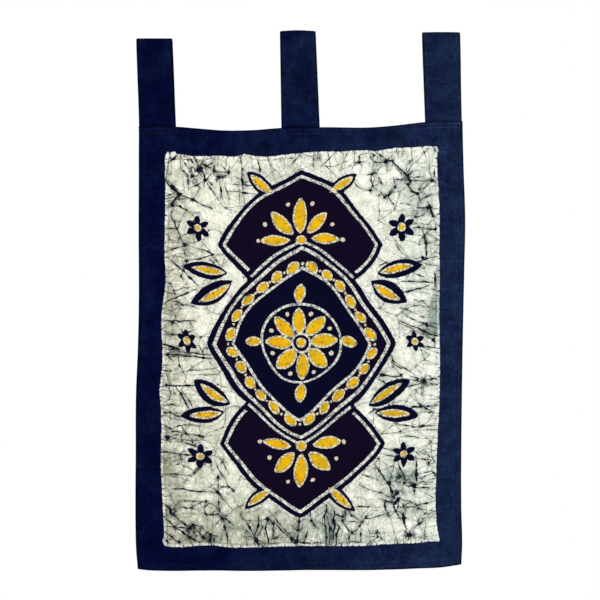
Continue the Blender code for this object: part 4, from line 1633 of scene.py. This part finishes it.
# %% Blots at the knots
BLOT_GAIN = 1.8
BLOT_MOVED = {"fray": 0.9, "wander": 0.4}
BLOT_EDGE = (0.95, 1.15)
blot = add(tree, "Math", (read["blots"], BLOT_GAIN), operation="MULTIPLY")
for source, much in BLOT_MOVED.items():
    blot = add(tree, "Math", (share[source], much, blot), operation="MULTIPLY_ADD")
blot = add(tree, "MapRange", (blot, *BLOT_EDGE), interpolation_type="SMOOTHSTEP")
dark = add(tree, "Math", (dark, blot), operation="MAXIMUM")
print("waxed cotton so far:", len(tree.nodes), "nodes")

# %% Hairlines: the edges of cells, most of them short across the nearest edge of the field
HAIRLINES = {
    "size": ((30.0, 22.0), (34.0, 9.0), (9.0, 36.0), (13.0, 13.0)),
    "width": (0.034, 0.07, 0.07, 0.06),
    "sides": (1.0, 1.0, 0.0, 0.8),
    "ends": (1.0, 0.0, 1.0, 0.8),
    "opacity": (0.62, 0.4, 0.4, 0.45),
    "patchy": (0.6, 1.0, 1.0, 1.0),
}
WARP = 0.012
MORE_IN_STAINS = 0.25
PATCH_RANGE = (0.42, 0.6)
warp = add(tree, "VectorMath", (noise["warp"].outputs["Color"], WARP), operation="SCALE")
warped = add(tree, "VectorMath", (place, warp), operation="ADD")
patches = add(tree, "Math", (read["stain"], MORE_IN_STAINS, noise["patches"]), operation="MULTIPLY_ADD")
hair = None
for layer in rows_of(HAIRLINES):
    wide, tall = layer["size"]
    spot = add(tree, "Mapping", {"Vector": warped, "Scale": (1000 / wide, 0.0, 1000 / tall)})
    cells = add(tree, "TexVoronoi", {"Vector": spot, "Scale": 1.0}, feature="DISTANCE_TO_EDGE")
    thin = add(
        tree, "MapRange", (cells, 0.0, layer["width"], *FADE_OUT), interpolation_type="SMOOTHSTEP"
    )
    here = add(tree, "MapRange", (read["side_share"], 0.0, 1.0, layer["ends"], layer["sides"]))
    patch = add(tree, "MapRange", (patches, *PATCH_RANGE, 1 - layer["patchy"], 1.0))
    for factor in (here, patch, layer["opacity"]):
        thin = add(tree, "Math", (thin, factor), operation="MULTIPLY")
    hair = thin if hair is None else add(tree, "Math", (hair, thin), operation="MAXIMUM")
hair = add(tree, "Math", (hair, share["hair_whole"]), operation="MULTIPLY")
print("waxed cotton so far:", len(tree.nodes), "nodes")

# %% Crushed wax round the knots
NET_SIZE = 6.5
NET_SOFT = (-0.02, 0.03)
NET_HERE = (0.25, 0.7)
spot = add(tree, "Mapping", {"Vector": warped, "Scale": (1000 / NET_SIZE, 0.0, 1000 / NET_SIZE)})
cells = add(tree, "TexVoronoi", {"Vector": spot, "Scale": 1.0}, feature="DISTANCE_TO_EDGE")
spread = add(tree, "Math", (read["crushed"], share["net_width"]), operation="MULTIPLY")
spread = add(tree, "Math", (cells, spread), operation="SUBTRACT")
net = add(tree, "MapRange", (spread, *NET_SOFT, *FADE_OUT), interpolation_type="SMOOTHSTEP")
net_here = add(tree, "MapRange", (read["crushed"], *NET_HERE))
for factor in (net_here, share["net_whole"]):
    net = add(tree, "Math", (net, factor), operation="MULTIPLY")
dark = add(tree, "Math", (dark, net), operation="MAXIMUM")
print("waxed cotton so far:", len(tree.nodes), "nodes")

# %% White rims of thick wax, along the field's edge and round the design
# A rim is full up to its first distance from the edge and gone at its second.
RIM = (2.4, 3.8)
HALO = (2.2, 3.8)
RIM_CLEARS = 0.75
RIM_WHITE = 0.75
field_in = add(tree, "Math", (read["field_edge"], -1.0), operation="MULTIPLY")
rim = add(tree, "MapRange", (field_in, *RIM, *FADE_OUT))
halo = add(tree, "MapRange", (read["navy_edge"], *HALO, *FADE_OUT))
white = add(tree, "Math", (rim, halo), operation="MAXIMUM")
white = add(tree, "Math", (white, share["rim_whole"]), operation="MULTIPLY")
clear = add(tree, "MapRange", (white, 0.0, 1.0, 1.0, RIM_CLEARS))
dark = add(tree, "Math", (dark, clear), operation="MULTIPLY")
white = add(tree, "Math", (white, RIM_WHITE), operation="MULTIPLY")
print("waxed cotton so far:", len(tree.nodes), "nodes")

# %% Ticks that cross the rims, and the dark seam beside them
TICK_PITCH = 4.6
TICK_RANGE = (0.58, 0.66, 0.0, 0.8)
TICK_CELL = 5.5
HALO_TICK_WIDTH = 0.11
HALO_TICK_SHARE = 0.5
RIM_SEAM = 5.4
RIM_SEAM_WANDER = 0.5
RIM_SEAM_EDGE = (0.2, 1.1)
RIM_SEAM_HERE = (0.52, 0.64, 0.0, 0.6)
axes = add(tree, "SeparateXYZ", [warped])
ways = [
    add(tree, "TexNoise", {"W": axes.outputs[axis], "Scale": 1000 / TICK_PITCH}, noise_dimensions="1D")
    for axis in ("X", "Z")
]
along = add(tree, "Mix", (read["side_share"], *ways), data_type="FLOAT")
rim_ticks = add(tree, "MapRange", (along, *TICK_RANGE))
rim_ticks = add(tree, "Math", (rim_ticks, rim), operation="MULTIPLY")
cells = add(tree, "TexVoronoi", {"Vector": place, "Scale": 1000 / TICK_CELL}, feature="DISTANCE_TO_EDGE")
halo_ticks = add(
    tree, "MapRange", (cells, 0.0, HALO_TICK_WIDTH, *FADE_OUT), interpolation_type="SMOOTHSTEP"
)
for factor in (halo, HALO_TICK_SHARE):
    halo_ticks = add(tree, "Math", (halo_ticks, factor), operation="MULTIPLY")
beside = add(tree, "Math", (field_in, read["navy_edge"]), operation="MINIMUM")
beside = add(tree, "Math", (share["wander"], RIM_SEAM_WANDER, beside), operation="MULTIPLY_ADD")
beside = add(tree, "Math", (beside, RIM_SEAM), operation="SUBTRACT")
beside = add(tree, "Math", [beside], operation="ABSOLUTE")
rim_seam = add(tree, "MapRange", (beside, *RIM_SEAM_EDGE, *FADE_OUT))
seam_here = add(tree, "MapRange", (patches, *RIM_SEAM_HERE))
rim_seam = add(tree, "Math", (rim_seam, seam_here), operation="MULTIPLY")
hair = add(tree, "Math", (hair, rim_seam), operation="MAXIMUM")
print("waxed cotton so far:", len(tree.nodes), "nodes")

# %% All that lies over the field's colour, one after another
for cover, colour in (
    (white, "#edeee8"), (hair, "#474e47"), (halo_ticks, "#2c302f"), (rim_ticks, "#1a1e28"),
    (dark, "#10121e"),
):
    field_colour = add(tree, "Mix", (cover, field_colour, linear(colour)), data_type="RGBA")
print("waxed cotton so far:", len(tree.nodes), "nodes")

# %% Where the design's parts are, from their distances: 1 inside a part and 0 outside it
EDGE_SOFT = 0.4
EDGE_WANDER = {"field_edge": 0.95, "navy_edge": 0.8, "plum_edge": 0.6, "gold_edge": 0.65, "dot_edge": 0.4}
GOLD_OUTLINE = (2.2, 3.0)
GOLD_RIM = (-2.4, -0.2)
WAX_LINE_WANDER = 0.5
WAX_LINE_SOFT = (-0.4, 0.5)
WAX_FALSE_LINE = (3.6, 4.4)
moved = {
    name: add(tree, "Math", (ragged, EDGE_WANDER[name], read[name]), operation="MULTIPLY_ADD")
    for name in EDGE_NAMES
}
inside = {
    name: add(
        tree, "MapRange", (edge, -EDGE_SOFT, EDGE_SOFT, *FADE_OUT), interpolation_type="SMOOTHSTEP"
    )
    for name, edge in moved.items()
}
gold_outline = add(
    tree, "MapRange", (moved["gold_edge"], *GOLD_OUTLINE, *FADE_OUT), interpolation_type="SMOOTHSTEP"
)
gold_rim = add(tree, "MapRange", (moved["gold_edge"], *GOLD_RIM))
wax_line = None
for name in ("wax_lines", "outer_wax_lines"):
    line = add(tree, "Attribute", attribute_name=name).outputs["Vector"]
    wax = add(tree, "SeparateXYZ", [line])
    off = add(tree, "Math", (ragged, WAX_LINE_WANDER, wax.outputs["X"]), operation="MULTIPLY_ADD")
    off = add(tree, "Math", [off], operation="ABSOLUTE")
    off = add(tree, "Math", (off, wax.outputs["Z"]), operation="SUBTRACT")
    drawn = add(tree, "MapRange", (off, *WAX_LINE_SOFT, *FADE_OUT), interpolation_type="SMOOTHSTEP")
    near = add(tree, "MapRange", (wax.outputs["Y"], *WAX_FALSE_LINE, *FADE_OUT))
    drawn = add(tree, "Math", (drawn, near), operation="MULTIPLY")
    wax_line = drawn if wax_line is None else add(tree, "Math", (wax_line, drawn), operation="MAXIMUM")
print("waxed cotton so far:", len(tree.nodes), "nodes")

# %% The gold, and the dark ground with its wax lines and ticks
GOLDS = ("#ecb80e", "#c7a020")
ORANGE = "#e8960c"
BROWN = "#a87a1c"
SPECK = "#5f3c08"
GROUNDS = ("#060721", "#12061d")
WAX_LINE_COLOURS = ("#e6e7dc", "#bfc1b6")
OUTLINE_COLOUR = "#d8d3b4"
LINE_TICK_COLOUR = "#0b0c20"
DOT_COLOUR = "#cdc2aa"
LINE_CELL = 7.5
LINE_TICK_RANGE = (0.02, 0.1)
LINE_TICK_SHARE = 0.8
gold = add(tree, "Mix", (share["dull_gold"], *map(linear, GOLDS)), data_type="RGBA")
brown = add(tree, "Math", (gold_rim, share["brown_rim"]), operation="MULTIPLY")
for cover, colour in ((share["orange"], ORANGE), (brown, BROWN), (share["specks"], SPECK)):
    gold = add(tree, "Mix", (cover, gold, linear(colour)), data_type="RGBA")

cells = add(tree, "TexVoronoi", {"Vector": place, "Scale": 1000 / LINE_CELL}, feature="DISTANCE_TO_EDGE")
line_ticks = add(tree, "MapRange", (cells, *LINE_TICK_RANGE, *FADE_OUT))
line_ticks = add(tree, "Math", (line_ticks, LINE_TICK_SHARE), operation="MULTIPLY")
line_colour = add(tree, "Mix", (share["dull_cream"], *map(linear, WAX_LINE_COLOURS)), data_type="RGBA")
ground = add(tree, "Mix", (inside["plum_edge"], *map(linear, GROUNDS)), data_type="RGBA")
for cover, colour in (
    (wax_line, line_colour), (gold_outline, linear(OUTLINE_COLOUR)), (line_ticks, linear(LINE_TICK_COLOUR)),
    (inside["gold_edge"], gold), (inside["dot_edge"], linear(DOT_COLOUR)),
):
    ground = add(tree, "Mix", (cover, ground, colour), data_type="RGBA")
print("waxed cotton so far:", len(tree.nodes), "nodes")

# %% Border, field and design together, and the relief of weave, cracks and wax in millimetres
CRACK_DEPTH = -0.08
WAX_RELIEF = 0.25
WAXED_BUMP = 0.7
whole = add(tree, "Mix", (inside["field_edge"], border_colour, field_colour), data_type="RGBA")
whole = add(tree, "Mix", (inside["navy_edge"], whole, ground), data_type="RGBA")
crack_height = add(tree, "Math", (dark, CRACK_DEPTH), operation="MULTIPLY")
height = add(tree, "Math", (weave, crack_height), operation="ADD")
height = add(tree, "Math", (noise["mottle"], WAX_RELIEF, height), operation="MULTIPLY_ADD")
finish_cloth(tree, shader, whole, height, WAXED_BUMP)
print("waxed cotton has", len(tree.nodes), "nodes")

# %% [markdown]
# ## Stage, light and camera
#
# The photograph is a cut-out on white, lit evenly from the front. So the world is white, two large
# soft lamps stand in front, and a pale floor lies below the picture for the other views.
# A long lens straight in front keeps the cloth's sides as parallel as they are there.

# %% Floor
FLOOR_HEIGHT = -1.25
FLOOR_HALF = 1.3
FLOOR_COLOUR = "#e4e4e2"
FLOOR_ROUGHNESS = 0.9
floor_mesh = bpy.data.meshes.new("floor")
floor_points = [
    (x * FLOOR_HALF, y * FLOOR_HALF, FLOOR_HEIGHT) for x, y in ((-1, -1), (1, -1), (1, 1), (-1, 1))
]
floor_mesh.from_pydata(floor_points, [], [(0, 1, 2, 3)])
floor = bpy.data.objects.new("floor", floor_mesh)
bpy.context.scene.collection.objects.link(floor)
floor_paint = bpy.data.materials.new("matt_paint")
tree, shader = empty_tree(floor_paint)
shader.inputs["Base Color"].default_value = linear(FLOOR_COLOUR)
shader.inputs["Roughness"].default_value = FLOOR_ROUGHNESS
floor_mesh.materials.append(floor_paint)
print("floor at", FLOOR_HEIGHT, "m")

# %% A white room and three soft lamps
WORLD_LIGHT = 0.55
LAMP_AIM = Vector((0, 0, -0.4))
world = bpy.data.worlds.new("white_room")
bpy.context.scene.world = world
world.use_nodes = True
tree = world.node_tree
lit = add(tree, "Background", {"Color": (1.0, 1.0, 1.0, 1.0), "Strength": WORLD_LIGHT})
seen = add(tree, "Background", {"Color": (1.0, 1.0, 1.0, 1.0), "Strength": 1.0})
ray = add(tree, "LightPath")
both = add(tree, "MixShader", (ray.outputs["Is Camera Ray"], lit, seen))
tree.links.new(both.outputs[0], tree.nodes["World Output"].inputs["Surface"])

LAMPS = {
    "name": ("key", "fill", "rim_back"),
    "place": ((-1.1, -1.9, 0.5), (1.4, -2.0, -0.2), (0.4, 2.0, 0.6)),
    "size": (1.4, 1.6, 1.6),
    "power": (26.0, 17.0, 24.0),
}
for lamp in rows_of(LAMPS):
    light = bpy.data.lights.new(lamp["name"], "AREA")
    light.shape = "SQUARE"
    light.size = lamp["size"]
    light.energy = lamp["power"]
    body = bpy.data.objects.new(lamp["name"], light)
    body.location = lamp["place"]
    aim = LAMP_AIM - body.location
    body.rotation_euler = aim.to_track_quat("-Z", "Y").to_euler()
    bpy.context.scene.collection.objects.link(body)
print("lamps:", LAMPS["name"])

# %% Camera
PICTURE = 600
PIXEL = 1.55
MIDDLE_COLUMN = 299.5
ROD_ROW = 42.8
LENS = 85.0
SENSOR = 36.0
camera_data = bpy.data.cameras.new("camera")
camera_data.lens = LENS
camera_data.sensor_width = SENSOR
camera = bpy.data.objects.new("camera", camera_data)
view_width = PICTURE * PIXEL * MM
camera.location = (
    (PICTURE / 2 - MIDDLE_COLUMN) * PIXEL * MM,
    -view_width * LENS / SENSOR,
    (ROD_ROW - PICTURE / 2) * PIXEL * MM,
)
camera.rotation_euler = (math.pi / 2, 0, 0)
bpy.context.scene.collection.objects.link(camera)
bpy.context.scene.camera = camera
bpy.context.scene.view_settings.view_transform = "Standard"
print("camera stands", round(-camera.location.y, 2), "m in front")

# %% Finish
bpy.context.view_layer.update()
